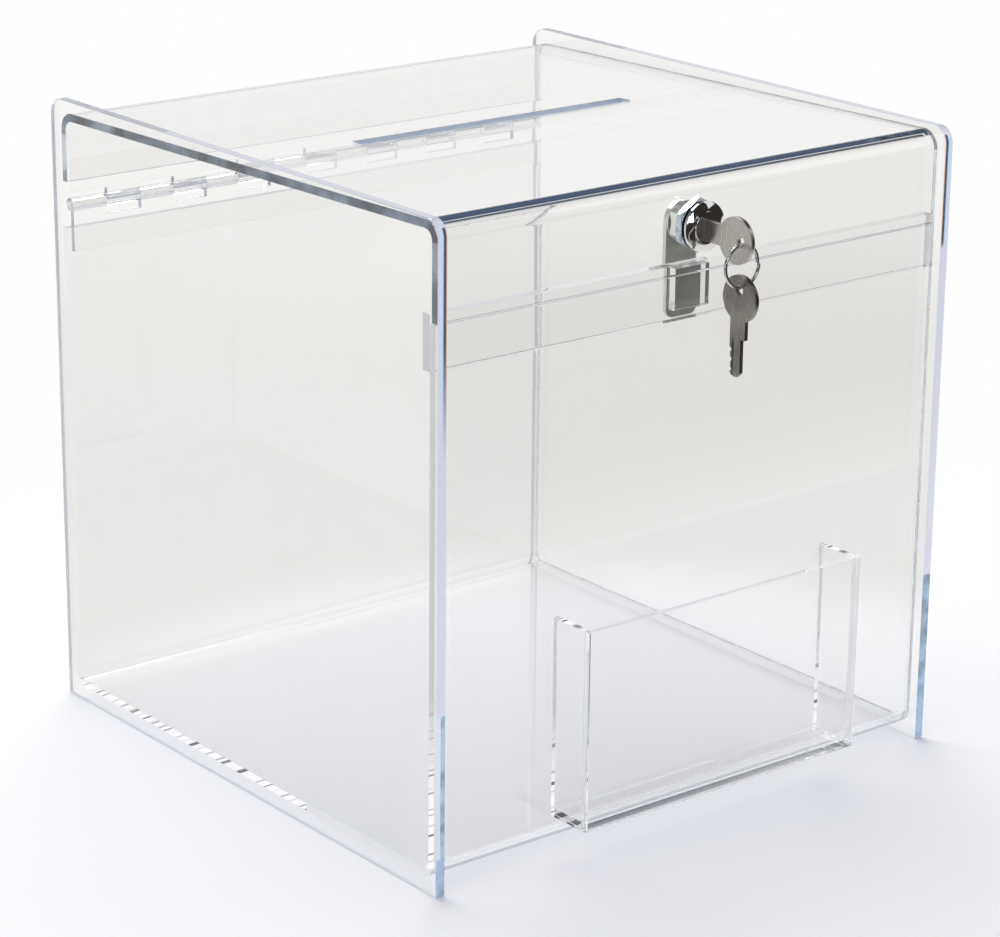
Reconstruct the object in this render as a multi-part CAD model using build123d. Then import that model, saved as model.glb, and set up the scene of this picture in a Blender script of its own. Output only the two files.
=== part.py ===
from build123d import *
import math
import os

# Clear acrylic ballot box with a hinged lid, a cam lock and a leaflet pocket.
# Sizes are in millimetres. X runs across the box from its middle, Z up from the ground.
# Y runs from front to back. It counts from the front edges of the side panels here, and the
# finished pieces are moved along it so that the whole object is centred on the origin.

# Side panels, which the box stands on
box_width = 300.0
panel_thick = 5.0
panel_depth = 302.0
panel_height = 304.0
panel_corner = 8.0

# Body sheet, bent to a U: front wall, floor and back wall
sheet_thick = 4.0
sheet_setback = 4.5
floor_rise = 5.5
bend_radius = 9.0
front_wall_drop = 45.9

# Stop strip and keeper block inside the top of the front wall
strip_thick = 5.0
strip_height = 25.4
strip_above_wall = 4.3
keeper_width = 20.0
keeper_cam_gap = 2.0
keeper_height = 19.5
keeper_drop = 2.9

# Lid sheet, bent to a front flap, a sloping top and a back flap
seam_gap = 0.3
lid_side_gap = 0.75
lid_strip_gap = 0.3
lid_front_drop = 1.8
lid_fall = 5.0
slot_length = 160.0
slot_width = 7.4

# Piano hinge inside the back
hinge_drop = 6.1
hinge_edge_setback = 11.2
knuckle_pitch = 19.05
knuckle_diameter = 6.4
knuckle_gap = 0.3
leaf_thick = 2.5
leaf_reach = 22.5
notch_reach = 6.5
pin_diameter = 3.0
pin_clearance = 0.05
pin_inset = 0.5

# Leaflet pocket on the front wall
pocket_sheet = 3.0
pocket_width = 163.5
pocket_depth = 24.5
pocket_height = 94.7
pocket_bottom = 19.4

# Cam lock: depths count from its seat on the flap's outer face
lock_above_wall = 20.4
head_lip = 1.9
head_rim = 1.0
head_rise = 3.5
barrel_diameter = 19.0
barrel_flat_depth = 1.5
barrel_clearance = 0.15
nut_wall = 1.5
nut_thick = 4.0
nut_side_count = 6
nut_corner_angle = 30.0
nut_clearance = 0.05

# Turning core of the lock
plug_proud = 3.25
plug_clearance = 0.05
plug_rim = 0.46
plug_end_wall = 0.8
plug_flange_lip = 0.8
plug_flange_depth = 1.75
plug_end_float = 0.1
tail_square = 7.0
tail_clearance = 0.05
tail_short = 0.1
keyway_clearance = 0.1
keyway_end_gap = 0.3

# Wafers and their springs
wafer_count = 5
wafer_pitch = 2.2
wafer_start = 2.2
wafer_thick = 1.0
wafer_width = 6.0
wafer_clearance = 0.05
wafer_rim_gap = 0.1
wafer_window_gap = 0.3
spur_reach = 2.3
spur_width = 0.9
spur_height = 2.0
spur_travel = 1.2
spring_diameter = 1.4
spring_wire = 0.25
spring_turns = 5
spring_gap = 0.1

# Stop washer, cam, spring washer and screw
stop_washer_lip = 0.2
stop_washer_thick = 1.0
tab_width = 3.0
tab_depth = 1.4
tab_gap = 0.9
tab_thick = 1.4
notch_clearance = 0.2
stop_slack_angle = 1.5
lock_turn_angle = 90.0
cam_width = 18.0
cam_thick = 2.0
cam_length = 43.5
cam_corner = 4.0
cam_washer_diameter = 7.6
cam_washer_thick = 0.8
cam_washer_slit = 0.8
screw_diameter = 4.0
screw_clearance = 0.05
screw_length = 3.2
screw_head_diameter = 8.0
screw_head_height = 2.3
screw_head_edge = 0.6
screw_recess_length = 4.4
screw_recess_width = 0.9
screw_recess_depth = 1.2
screw_hole_extra = 0.4

# Keys and the split ring
key_thick = 2.0
key_blade_length = 17.5
key_blade_height = 7.0
key_tip_chamfer = 2.0
key_grip_length = 28.9
key_neck_height = 9.6
key_bow_diameter = 21.3
key_bow_drop = 1.9
key_hole_diameter = 4.4
key_hole_inset = 6.8
key_seat_gap = 0.05
key_groove_width = 1.2
key_groove_depth = 0.5
key_groove_offset = 1.1
key_cut_flat = 0.8
key_cut_depths = [1.2, 0.6, 1.5, 0.9, 1.3]
ring_diameter = 20.5
ring_wire_radial = 1.4
ring_wire_axial = 0.8
ring_turn_gap = 0.06
ring_turns = 2
ring_rest_gap = 0.35

# One overrun for every cut that has to pass right through
overrun = 1.0

# Heights and sizes worked out from the ones above
front_wall_top = panel_height - front_wall_drop
lid_front_height = panel_height - lid_front_drop
lid_back_height = lid_front_height - lid_fall
hinge_height = front_wall_top - hinge_drop
lock_height = front_wall_top + lock_above_wall
head_diameter = barrel_diameter + 2 * head_lip
barrel_flats = barrel_diameter - 2 * barrel_flat_depth
nut_flats = barrel_diameter + 2 * nut_wall
spur_outer = wafer_width / 2 + spur_reach
plug_diameter = 2 * (math.hypot(spur_outer, spur_height + spur_width) + plug_rim)
plug_flange_diameter = plug_diameter + 2 * plug_flange_lip
tab_inner_radius = plug_diameter / 2 + tab_gap
tab_outer_radius = tab_inner_radius + tab_thick
stop_washer_diameter = 2 * (tab_outer_radius + stop_washer_lip)

# Places worked out from the sizes
panel_inside = box_width / 2 - panel_thick
wall_front_outer = sheet_setback
wall_front_inner = wall_front_outer + sheet_thick
wall_back_outer = panel_depth - sheet_setback
wall_back_inner = wall_back_outer - sheet_thick
floor_top = floor_rise + sheet_thick
strip_top = front_wall_top + strip_above_wall
strip_back = wall_front_inner + strip_thick
flap_inner = wall_front_inner - lid_strip_gap
flap_front = flap_inner - sheet_thick
lid_half_width = panel_inside - lid_side_gap
knuckle_count = int(2 * lid_half_width / knuckle_pitch)
lid_slope = math.atan2(lid_front_height - lid_back_height, wall_back_outer - flap_front)
leaf_front = wall_back_inner - leaf_thick
hinge_depth = leaf_front + knuckle_diameter / 2
plug_front = -plug_proud
key_tip = plug_front - key_seat_gap + key_blade_length
plug_shoulder = key_tip + keyway_end_gap + plug_end_wall
barrel_length = plug_shoulder - plug_end_float
cam_front = plug_shoulder + stop_washer_thick
cam_back = cam_front + cam_thick
screw_seat = cam_back + cam_washer_thick
keeper_back = flap_front + cam_front - keeper_cam_gap
key_shoulder = flap_front + plug_front - key_seat_gap
key_hole_place = key_hole_inset - key_grip_length
ring_middle_depth = key_shoulder + key_hole_place
ring_top_wire = lock_height - key_bow_drop - key_hole_diameter / 2 + ring_rest_gap + ring_wire_radial / 2
ring_coil_radius = (ring_diameter - ring_wire_radial) / 2
ring_centre_height = ring_top_wire - ring_coil_radius
ring_bottom_wire = ring_centre_height - ring_coil_radius
front_reach = ring_middle_depth - key_bow_diameter / 2
row_centre = (front_reach + panel_depth) / 2
pocket_front_outer = wall_front_outer - pocket_depth
pocket_front_inner = pocket_front_outer + pocket_sheet
pocket_top = pocket_bottom + pocket_height
spring_middle = wafer_width / 2 + spur_reach / 2
spring_top = -spur_height
spring_bottom = spur_height

# The lock's own frame: its Z points into the box from the flap's outer face, its Y points down
lock_frame = Plane(origin=(0, flap_front, lock_height), x_dir=(1, 0, 0), z_dir=(0, 1, 0)).location


def block(x_range, y_range, z_range):
    """A box between two places on each axis."""
    sizes = [high - low for low, high in (x_range, y_range, z_range)]
    middles = [(high + low) / 2 for low, high in (x_range, y_range, z_range)]
    return Pos(*middles) * Box(*sizes)


def rod(diameter, low, high):
    """A round rod along Z between two heights."""
    return Pos(0, 0, (low + high) / 2) * Cylinder(diameter / 2, high - low)


def bent_sheet(outer, inner, width):
    """A sheet of one thickness, bent along an outline in the YZ plane and centred on X."""
    outer_line = FilletPolyline(*outer, radius=bend_radius)
    inner_line = FilletPolyline(*inner, radius=bend_radius - sheet_thick)
    ends = [Line(outer[0], inner[0]), Line(outer[-1], inner[-1])]
    profile = make_face([*outer_line.edges(), *inner_line.edges(), *ends])
    return extrude(Plane.YZ * profile, amount=width / 2, both=True)


def side_panel(side):
    """A flat side panel with rounded top corners: side is -1 on the left and 1 on the right."""
    x_range = sorted([side * panel_inside, side * box_width / 2])
    panel = block(x_range, (0, panel_depth), (0, panel_height))
    top_corners = panel.edges().filter_by(Axis.X).group_by(Axis.Z)[-1]
    return fillet(top_corners, radius=panel_corner)


def body_sheet():
    """Front wall, floor and back wall in one bent sheet."""
    back_top = hinge_height - hinge_edge_setback
    outer = [
        (wall_front_outer, front_wall_top),
        (wall_front_outer, floor_rise),
        (wall_back_outer, floor_rise),
        (wall_back_outer, back_top),
    ]
    inner = [
        (wall_front_inner, front_wall_top),
        (wall_front_inner, floor_top),
        (wall_back_inner, floor_top),
        (wall_back_inner, back_top),
    ]
    return bent_sheet(outer, inner, 2 * panel_inside)


def front_stop_strip():
    """Square strip on the inside of the front wall, which the flap closes in front of."""
    z_range = (strip_top - strip_height, strip_top)
    return block((-panel_inside, panel_inside), (wall_front_inner, strip_back), z_range)


def keeper_block():
    """Block on the strip that the cam drops behind."""
    top = strip_top - keeper_drop
    x_range = (-keeper_width / 2, keeper_width / 2)
    return block(x_range, (strip_back, keeper_back), (top - keeper_height, top))


def lid_top(depth):
    """Height of the lid's upper face at a place along Y."""
    return lid_back_height + (wall_back_outer - depth) * math.tan(lid_slope)


def lid_under(depth):
    """Height of the lid's lower face at a place along Y."""
    return lid_top(depth) - sheet_thick / math.cos(lid_slope)


def lid_sheet():
    """Front flap, sloping top and back flap in one bent sheet, with the slot and the lock's hole."""
    flap_bottom = front_wall_top + seam_gap
    back_bottom = hinge_height + hinge_edge_setback
    outer = [
        (flap_front, flap_bottom),
        (flap_front, lid_top(flap_front)),
        (wall_back_outer, lid_top(wall_back_outer)),
        (wall_back_outer, back_bottom),
    ]
    inner = [
        (flap_inner, flap_bottom),
        (flap_inner, lid_under(flap_inner)),
        (wall_back_inner, lid_under(wall_back_inner)),
        (wall_back_inner, back_bottom),
    ]
    sheet = bent_sheet(outer, inner, 2 * lid_half_width)
    middle = panel_depth / 2
    slot_x = (-slot_length / 2, slot_length / 2)
    slot_y = (middle - slot_width / 2, middle + slot_width / 2)
    slot = block(slot_x, slot_y, (lid_under(middle) - overrun, lid_top(middle) + overrun))
    hole = flatted_rod(barrel_diameter + 2 * barrel_clearance, barrel_flats + 2 * barrel_clearance,
                       -overrun, sheet_thick + overrun)
    return sheet - slot - lock_frame * hole


def flatted_rod(diameter, flats, low, high):
    """A round rod along Z with two flats, as on the lock's barrel."""
    y_range = (-diameter / 2, diameter / 2)
    return rod(diameter, low, high) & block((-flats / 2, flats / 2), y_range, (low, high))


def knuckle_places(first):
    """Middles of every second knuckle along X, from the first or the second one."""
    left = -(knuckle_count - 1) * knuckle_pitch / 2
    return [left + index * knuckle_pitch for index in range(first, knuckle_count, 2)]


def hinge_leaf(side, first):
    """A leaf with its knuckles: side is -1 for the leaf that hangs down, 1 for the one that stands up."""
    half_length = (knuckle_count * knuckle_pitch - knuckle_gap) / 2
    near = side * notch_reach
    far = side * leaf_reach
    leaf = block((-half_length, half_length), (leaf_front, wall_back_inner),
                 sorted([hinge_height + near, hinge_height + far]))
    half_knuckle = (knuckle_pitch - knuckle_gap) / 2
    for middle in knuckle_places(first):
        x_range = (middle - half_knuckle, middle + half_knuckle)
        leaf += block(x_range, (leaf_front, wall_back_inner), sorted([hinge_height, hinge_height + near]))
        leaf += Pos(middle, hinge_depth, hinge_height) * Rot(0, 90, 0) * Cylinder(
            knuckle_diameter / 2, 2 * half_knuckle)
    bore = Cylinder(pin_diameter / 2 + pin_clearance, 2 * half_length + 2 * overrun)
    return leaf - Pos(0, hinge_depth, hinge_height) * Rot(0, 90, 0) * bore


def hinge_pin():
    """The rod through all the knuckles."""
    length = knuckle_count * knuckle_pitch - 2 * pin_inset
    return Pos(0, hinge_depth, hinge_height) * Rot(0, 90, 0) * Cylinder(pin_diameter / 2, length)


def pocket_front():
    """Front sheet of the leaflet pocket."""
    x_range = (-pocket_width / 2, pocket_width / 2)
    return block(x_range, (pocket_front_outer, pocket_front_inner), (pocket_bottom, pocket_top))


def pocket_side(side):
    """Side strip of the pocket, from its front sheet back to the wall."""
    x_range = sorted([side * pocket_width / 2, side * (pocket_width / 2 - pocket_sheet)])
    return block(x_range, (pocket_front_inner, wall_front_outer), (pocket_bottom, pocket_top))


def pocket_floor():
    """Floor strip between the pocket's sides."""
    half_width = pocket_width / 2 - pocket_sheet
    z_range = (pocket_bottom, pocket_bottom + pocket_sheet)
    return block((-half_width, half_width), (pocket_front_inner, wall_front_outer), z_range)


def lock_head():
    """Domed head with a thin rim, from its apex back to the flap."""
    radius = head_diameter / 2
    rise = head_rise - head_rim
    middle = Line((0, 0), (radius, 0)) + Line((radius, 0), (radius, -head_rim))
    dome_radius = (radius ** 2 + rise ** 2) / (2 * rise)
    centre = dome_radius - head_rise
    sweep = math.asin(radius / dome_radius) / 2
    halfway = (dome_radius * math.sin(sweep), centre - dome_radius * math.cos(sweep))
    dome = ThreePointArc((radius, -head_rim), halfway, (0, -head_rise))
    profile = make_face([*middle.edges(), *dome.edges(), *Line((0, -head_rise), (0, 0)).edges()])
    return revolve(Plane.XZ * profile, Axis.Z)


def stop_notch():
    """Room in the barrel's end for the stop washer's tab to sweep a quarter turn."""
    inner = tab_inner_radius - notch_clearance
    outer = barrel_diameter / 2 + overrun
    depth = barrel_length - plug_end_float - tab_depth
    end = barrel_length + overrun
    points = [(inner, depth), (outer, depth), (outer, end), (inner, end)]
    profile = make_face(Polyline(*points, close=True))
    half_tab = math.degrees(math.asin(tab_width / 2 / tab_inner_radius)) + stop_slack_angle
    sweep = lock_turn_angle + 2 * half_tab
    notch = revolve(Plane.XZ * profile, Axis.Z, revolution_arc=sweep)
    return Rot(0, 0, -lock_turn_angle - half_tab) * notch


def lock_housing():
    """Chrome head and barrel in one, bored for the core. The barrel has its thread's outer diameter."""
    barrel = flatted_rod(barrel_diameter, barrel_flats, 0, barrel_length)
    bore = rod(plug_diameter + 2 * plug_clearance, -head_rise - overrun, barrel_length + overrun)
    flange_back = plug_front + plug_flange_depth + plug_clearance
    flange_room = rod(plug_flange_diameter + 2 * plug_clearance, -head_rise - overrun, flange_back)
    housing = lock_head() + barrel - bore - flange_room - stop_notch()
    return lock_frame * housing


def lock_nut():
    """Hex nut that pulls the lock's head down on the flap, one corner up."""
    outline = RegularPolygon(nut_flats / 2, nut_side_count, major_radius=False, rotation=nut_corner_angle)
    hexagon = extrude(outline, amount=nut_thick)
    bore = rod(barrel_diameter + 2 * nut_clearance, -overrun, nut_thick + overrun)
    return lock_frame * Pos(0, 0, sheet_thick) * (hexagon - bore)


def wafer_middles():
    """Depth of the middle of each wafer."""
    return [wafer_start + index * wafer_pitch for index in range(wafer_count)]


def lock_plug():
    """Core of the lock: keyway, wafer slots and spring pockets, with a square tail for the cam."""
    flange = rod(plug_flange_diameter, plug_front, plug_front + plug_flange_depth)
    plug = flange + rod(plug_diameter, plug_front, plug_shoulder)
    tail_half = tail_square / 2
    plug += block((-tail_half, tail_half), (-tail_half, tail_half), (plug_shoulder, cam_back - tail_short))
    keyway_half_x = key_thick / 2 + keyway_clearance
    keyway_half_y = key_blade_height / 2 + keyway_clearance
    plug -= block((-keyway_half_x, keyway_half_x), (-keyway_half_y, keyway_half_y),
                  (plug_front - overrun, key_tip + keyway_end_gap))
    for middle in wafer_middles():
        plug -= Pos(0, 0, middle) * wafer_room()
    hole_start = screw_seat - screw_length - screw_hole_extra
    plug -= rod(screw_diameter + 2 * screw_clearance, hole_start, cam_back)
    return lock_frame * plug


def wafer_room():
    """Slot across the core for one wafer, with the pocket for its spur and spring."""
    half_width = wafer_width / 2 + wafer_clearance
    half_thick = wafer_thick / 2 + wafer_clearance
    reach = plug_diameter / 2 + overrun
    room = block((-half_width, half_width), (-reach, reach), (-half_thick, half_thick))
    spur_top = spring_top - spur_width - spur_travel
    room += block((0, spur_outer + wafer_clearance), (spur_top, spring_top + wafer_clearance),
                  (-half_thick, half_thick))
    pocket = rod(spring_diameter + 2 * spring_gap, spring_top, spring_bottom + spring_gap)
    return room + Pos(spring_middle, 0, 0) * Rot(-90, 0, 0) * pocket


def wafer():
    """One flat wafer with rounded ends, a window for the key and a spur for its spring."""
    half_width = wafer_width / 2
    end_radius = plug_diameter / 2 - wafer_rim_gap
    half_thick = wafer_thick / 2
    z_range = (-half_thick, half_thick)
    plate = rod(2 * end_radius, *z_range)
    plate &= block((-half_width, half_width), (-end_radius, end_radius), z_range)
    plate += block((0, spur_outer), (spring_top - spur_width, spring_top), z_range)
    window_x = key_thick / 2 + wafer_window_gap
    window_y = key_blade_height / 2 + wafer_window_gap
    return plate - block((-window_x, window_x), (-window_y, window_y), (-overrun, overrun))


def lock_wafers():
    """All the wafers, as separate solids."""
    return Compound(children=[lock_frame * Pos(0, 0, middle) * wafer() for middle in wafer_middles()])


def coil(radius, section, pitch, turns):
    """One unbroken wire wound about Z: section is a face drawn about its own middle."""
    path = Helix(pitch, pitch * turns, radius)
    start = Plane(origin=path @ 0, x_dir=(1, 0, 0), z_dir=path % 0)
    wire = sweep(start * section, path=path, is_frenet=True)
    return Pos(0, 0, -pitch * turns / 2) * wire


def wafer_springs():
    """The springs that push the wafers' spurs up, as separate solids."""
    room = spring_bottom - spring_top - spring_wire - 2 * spring_gap
    radius = (spring_diameter - spring_wire) / 2
    wound = coil(radius, Circle(spring_wire / 2), room / spring_turns, spring_turns)
    standing = Pos(spring_middle, 0, 0) * Rot(-90, 0, 0) * wound
    return Compound(children=[lock_frame * Pos(0, 0, middle) * standing for middle in wafer_middles()])


def square_hole(low, high):
    """Hole for the core's square tail."""
    half = tail_square / 2 + tail_clearance
    return block((-half, half), (-half, half), (low, high))


def stop_washer():
    """Square-holed washer on the core, with the tab that stops its turn in the barrel's notch."""
    washer = rod(stop_washer_diameter, plug_shoulder, cam_front)
    tab = block((-tab_width / 2, tab_width / 2), (-tab_outer_radius, -tab_inner_radius),
                (plug_shoulder - tab_depth, cam_front))
    return lock_frame * (washer + tab - square_hole(plug_shoulder - overrun, cam_front + overrun))


def cam():
    """Steel strip on the square tail, round about the lock's axis and hanging down behind the keeper."""
    half_width = cam_width / 2
    strip = block((-half_width, half_width), (0, cam_length), (cam_front, cam_back))
    lower_corners = strip.edges().filter_by(Axis.Z).group_by(Axis.Y)[-1]
    strip = fillet(lower_corners, radius=cam_corner)
    plate = strip + rod(cam_width, cam_front, cam_back)
    return lock_frame * (plate - square_hole(cam_front - overrun, cam_back + overrun))


def cam_washer():
    """Split spring washer under the screw's head."""
    washer = rod(cam_washer_diameter, cam_back, screw_seat)
    washer -= rod(screw_diameter + 2 * screw_clearance, cam_back - overrun, screw_seat + overrun)
    slit = block((0, cam_washer_diameter), (-cam_washer_slit / 2, cam_washer_slit / 2),
                 (cam_back - overrun, screw_seat + overrun))
    return lock_frame * (washer - slit)


def cam_screw():
    """Pan-head screw with a cross recess."""
    head = rod(screw_head_diameter, screw_seat, screw_seat + screw_head_height)
    head = fillet(head.edges().group_by(Axis.Z)[-1], radius=screw_head_edge)
    shank = rod(screw_diameter, screw_seat - screw_length, screw_seat)
    top = screw_seat + screw_head_height
    arm = (-screw_recess_length / 2, screw_recess_length / 2)
    slit = (-screw_recess_width / 2, screw_recess_width / 2)
    depth = (top - screw_recess_depth, top + overrun)
    return lock_frame * (head + shank - block(arm, slit, depth) - block(slit, arm, depth))


def key_cut(middle, depth):
    """One cut in the key's upper edge, flat at the bottom with sloping sides."""
    edge = key_blade_height / 2
    half_flat = key_cut_flat / 2
    reach = depth + overrun
    points = [
        (middle - half_flat, edge - depth),
        (middle + half_flat, edge - depth),
        (middle + half_flat + reach, edge + overrun),
        (middle - half_flat - reach, edge + overrun),
    ]
    return make_face(Polyline(*points, close=True))


def key_blade_outline():
    """Blade from the shoulder to its bevelled tip, drawn with the cuts for the wafers."""
    half = key_blade_height / 2
    tip = key_blade_length
    bevel = key_tip_chamfer
    points = [
        (0, -half),
        (tip - bevel, -half),
        (tip, -half + bevel),
        (tip, half - bevel),
        (tip - bevel, half),
        (0, half),
    ]
    blade = make_face(Polyline(*points, close=True))
    for middle, depth in zip(wafer_middles(), key_cut_depths):
        blade -= key_cut(middle - plug_front + key_seat_gap, depth)
    return blade


def key_groove(side):
    """Groove along one face of the blade: side is -1 on the left face and 1 on the right."""
    depth = key_thick / 2 - key_groove_depth
    x_range = sorted([side * depth, side * (key_thick / 2 + overrun)])
    middle = -side * key_groove_offset
    z_range = (middle - key_groove_width / 2, middle + key_groove_width / 2)
    return block(x_range, (0, key_blade_length + overrun), z_range)


def key_shape():
    """A key in the YZ plane: its shoulder is at the origin and its blade points along Y."""
    half = key_blade_height / 2
    bow_middle = -key_grip_length + key_bow_diameter / 2
    neck_low = half - key_neck_height
    neck = [(bow_middle, half), (0, half), (0, neck_low), (bow_middle, neck_low)]
    outline = make_face(Polyline(*neck, close=True)) + key_blade_outline()
    outline += Pos(bow_middle, -key_bow_drop) * Circle(key_bow_diameter / 2)
    outline -= Pos(key_hole_place, -key_bow_drop) * Circle(key_hole_diameter / 2)
    solid = extrude(Plane.YZ * outline, amount=key_thick / 2, both=True)
    return solid - key_groove(-1) - key_groove(1)


def key():
    """The key in the lock, its shoulder on the core's face."""
    return Pos(0, key_shoulder, lock_height) * key_shape()


def key_ring():
    """Split ring through the hole in the key's bow, hanging from its lower rim."""
    pitch = ring_wire_axial + ring_turn_gap
    section = Ellipse(ring_wire_radial / 2, ring_wire_axial / 2)
    ring = coil(ring_coil_radius, section, pitch, ring_turns)
    return Pos(0, ring_middle_depth, ring_centre_height) * Rot(-90, 0, 0) * ring


def spare_key():
    """Second key, hanging on the ring by the hole in its bow."""
    hole_height = ring_bottom_wire + ring_wire_radial / 2 + ring_rest_gap - key_hole_diameter / 2
    turned = Rot(-90, 0, 0) * key_shape()
    return Pos(0, ring_middle_depth + key_bow_drop, hole_height + key_hole_place) * turned


nodes = {
    "left_side_panel": side_panel(-1),
    "right_side_panel": side_panel(1),
    "body_sheet": body_sheet(),
    "front_stop_strip": front_stop_strip(),
    "keeper_block": keeper_block(),
    "lid_sheet": lid_sheet(),
    "hinge_body_leaf": hinge_leaf(-1, 0),
    "hinge_lid_leaf": hinge_leaf(1, 1),
    "hinge_pin": hinge_pin(),
    "pocket_front": pocket_front(),
    "pocket_left_side": pocket_side(-1),
    "pocket_right_side": pocket_side(1),
    "pocket_floor": pocket_floor(),
    "lock_housing": lock_housing(),
    "lock_nut": lock_nut(),
    "lock_plug": lock_plug(),
    "lock_wafers": lock_wafers(),
    "wafer_springs": wafer_springs(),
    "stop_washer": stop_washer(),
    "cam": cam(),
    "cam_washer": cam_washer(),
    "cam_screw": cam_screw(),
    "key": key(),
    "key_ring": key_ring(),
    "spare_key": spare_key(),
}

os.makedirs("parts", exist_ok=True)
for name, piece in nodes.items():
    export_step(Pos(0, -row_centre, 0) * piece, f"parts/{name}.step")
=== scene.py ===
"""Looks of a clear acrylic ballot box with a cam lock, two keys and a leaflet pocket.

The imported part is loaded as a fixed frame. The acrylic sheets are modelled again with polished
edges, the metal pieces get finer meshes where they show, and every piece gets its own finish.
Sizes below are in millimetres unless a name says otherwise; the scene itself is in metres.
"""

import logging
import math
from collections.abc import Callable, Iterator
from contextlib import contextmanager
from dataclasses import dataclass
from enum import Enum

import bpy
from mathutils import Matrix, Vector


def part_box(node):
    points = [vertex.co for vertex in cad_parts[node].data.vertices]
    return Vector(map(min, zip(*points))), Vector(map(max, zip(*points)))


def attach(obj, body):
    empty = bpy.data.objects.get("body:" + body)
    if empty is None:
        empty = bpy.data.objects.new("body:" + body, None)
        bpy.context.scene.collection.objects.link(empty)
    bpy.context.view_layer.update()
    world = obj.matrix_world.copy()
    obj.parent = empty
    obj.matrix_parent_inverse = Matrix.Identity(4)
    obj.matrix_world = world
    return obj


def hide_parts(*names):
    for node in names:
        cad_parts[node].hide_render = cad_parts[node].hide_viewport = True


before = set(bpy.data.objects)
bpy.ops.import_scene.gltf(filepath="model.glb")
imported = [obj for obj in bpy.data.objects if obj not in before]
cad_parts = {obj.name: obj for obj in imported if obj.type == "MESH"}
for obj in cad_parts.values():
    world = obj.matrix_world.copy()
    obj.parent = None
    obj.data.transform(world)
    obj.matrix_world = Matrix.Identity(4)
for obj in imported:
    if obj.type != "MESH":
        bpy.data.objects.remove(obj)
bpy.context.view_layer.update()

Colour = tuple[float, float, float]
Span = tuple[float, float]
Place = tuple[float, float, float]
Piece = bpy.types.Object
Face = bpy.types.MeshPolygon
Material = bpy.types.Material
Tree = bpy.types.NodeTree
Node = bpy.types.Node
Socket = bpy.types.NodeSocket
Sockets = bpy.types.bpy_prop_collection
Feed = Socket | float | tuple[float, ...] | Vector

MM = 0.001
SAME_POINT = 0.001 * MM
FACING = 0.9
NEAR_END = 0.99
ROUND_SIDES = 96
BEND_STEPS = 28
POLISH_STEPS = 2
SHARP_ANGLE = 35.0
FLAT_ANGLE = 0.1
WHITE: Colour = (1.0, 1.0, 1.0)
LOG = logging.getLogger("ballot_box")


class Pick(Enum):
    """What an edit works on: the element kinds of edit mode."""

    POINTS = "VERT"
    EDGES = "EDGE"


class Side(Enum):
    """Left and right seen from the front, by their sign along X."""

    LEFT = -1
    RIGHT = 1


# Modelling tools


def deselect_all() -> None:
    """Deselects every object, so that an operator acts only on what is picked next."""
    bpy.ops.object.select_all(action="DESELECT")


def activate(piece: Piece) -> None:
    """Makes one piece the only selected and the active one.

    Args:
        piece: The object that the next operators act on.
    """
    deselect_all()
    piece.select_set(True)
    bpy.context.view_layer.objects.active = piece


@contextmanager
def editing(piece: Piece, pick: Pick) -> Iterator[None]:
    """Edit mode on one piece, left again at the end.

    Args:
        piece: The object to edit.
        pick: The element kind that selections work on.

    Yields:
        Nothing; the block runs in edit mode.
    """
    activate(piece)
    bpy.ops.object.mode_set(mode="EDIT")
    bpy.ops.mesh.select_mode(type=pick.value)
    yield
    bpy.ops.object.mode_set(mode="OBJECT")


def pick_all() -> None:
    """Selects the whole mesh that is being edited."""
    bpy.ops.mesh.select_all(action="SELECT")


def pick_edges(piece: Piece, test: Callable[[Vector, Vector], bool]) -> None:
    """Selects edges by their middle and their direction, in metres.

    Args:
        piece: The object whose mesh is searched.
        test: Says from an edge's middle and its unit direction if it is wanted.
    """
    with editing(piece, Pick.EDGES):
        bpy.ops.mesh.select_all(action="DESELECT")
    mesh = piece.data
    for edge in mesh.edges:
        first, last = (mesh.vertices[index].co for index in edge.vertices)
        edge.select = test((first + last) / 2, (last - first).normalized())


def settle(piece: Piece, name: str) -> Piece:
    """Names a new primitive and moves its place into its mesh.

    Args:
        piece: The object that was just added.
        name: Its name.

    Returns:
        The same object, at the origin, unturned and unscaled.
    """
    piece.name = name
    piece.data.name = name
    activate(piece)
    bpy.ops.object.transform_apply(location=True, rotation=True, scale=True)
    return piece


def add_block(name: str, low: Vector, high: Vector) -> Piece:
    """A block between two corners.

    Args:
        name: The object's name.
        low: The lowest corner, in metres.
        high: The highest corner, in metres.

    Returns:
        The new object.
    """
    deselect_all()
    bpy.ops.mesh.primitive_cube_add(size=1, location=(low + high) / 2, scale=high - low)
    return settle(bpy.context.object, name)


def add_rod(name: str, start: Vector, end: Vector, radius: float) -> Piece:
    """A round rod between two points.

    Args:
        name: The object's name.
        start: The middle of one end, in metres.
        end: The middle of the other end, in metres.
        radius: Its radius, in metres.

    Returns:
        The new object.
    """
    deselect_all()
    along = end - start
    turn = along.to_track_quat("Z", "Y").to_euler()
    bpy.ops.mesh.primitive_cylinder_add(vertices=ROUND_SIDES, radius=radius, depth=along.length,
                                        location=(start + end) / 2, rotation=turn)
    return settle(bpy.context.object, name)


def add_path(name: str, points: list[Vector]) -> Piece:
    """An open line of edges, drawn point after point.

    Args:
        name: The object's name.
        points: Its points, in metres.

    Returns:
        The new object, a mesh with edges and no faces.
    """
    deselect_all()
    bpy.ops.mesh.primitive_plane_add(size=1)
    piece = settle(bpy.context.object, name)
    with editing(piece, Pick.POINTS):
        pick_all()
        bpy.ops.mesh.merge(type="CENTER")
        bpy.ops.transform.translate(value=points[0])
        for here, there in zip(points, points[1:]):
            bpy.ops.mesh.extrude_region_move(TRANSFORM_OT_translate={"value": there - here})
    return piece


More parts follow.
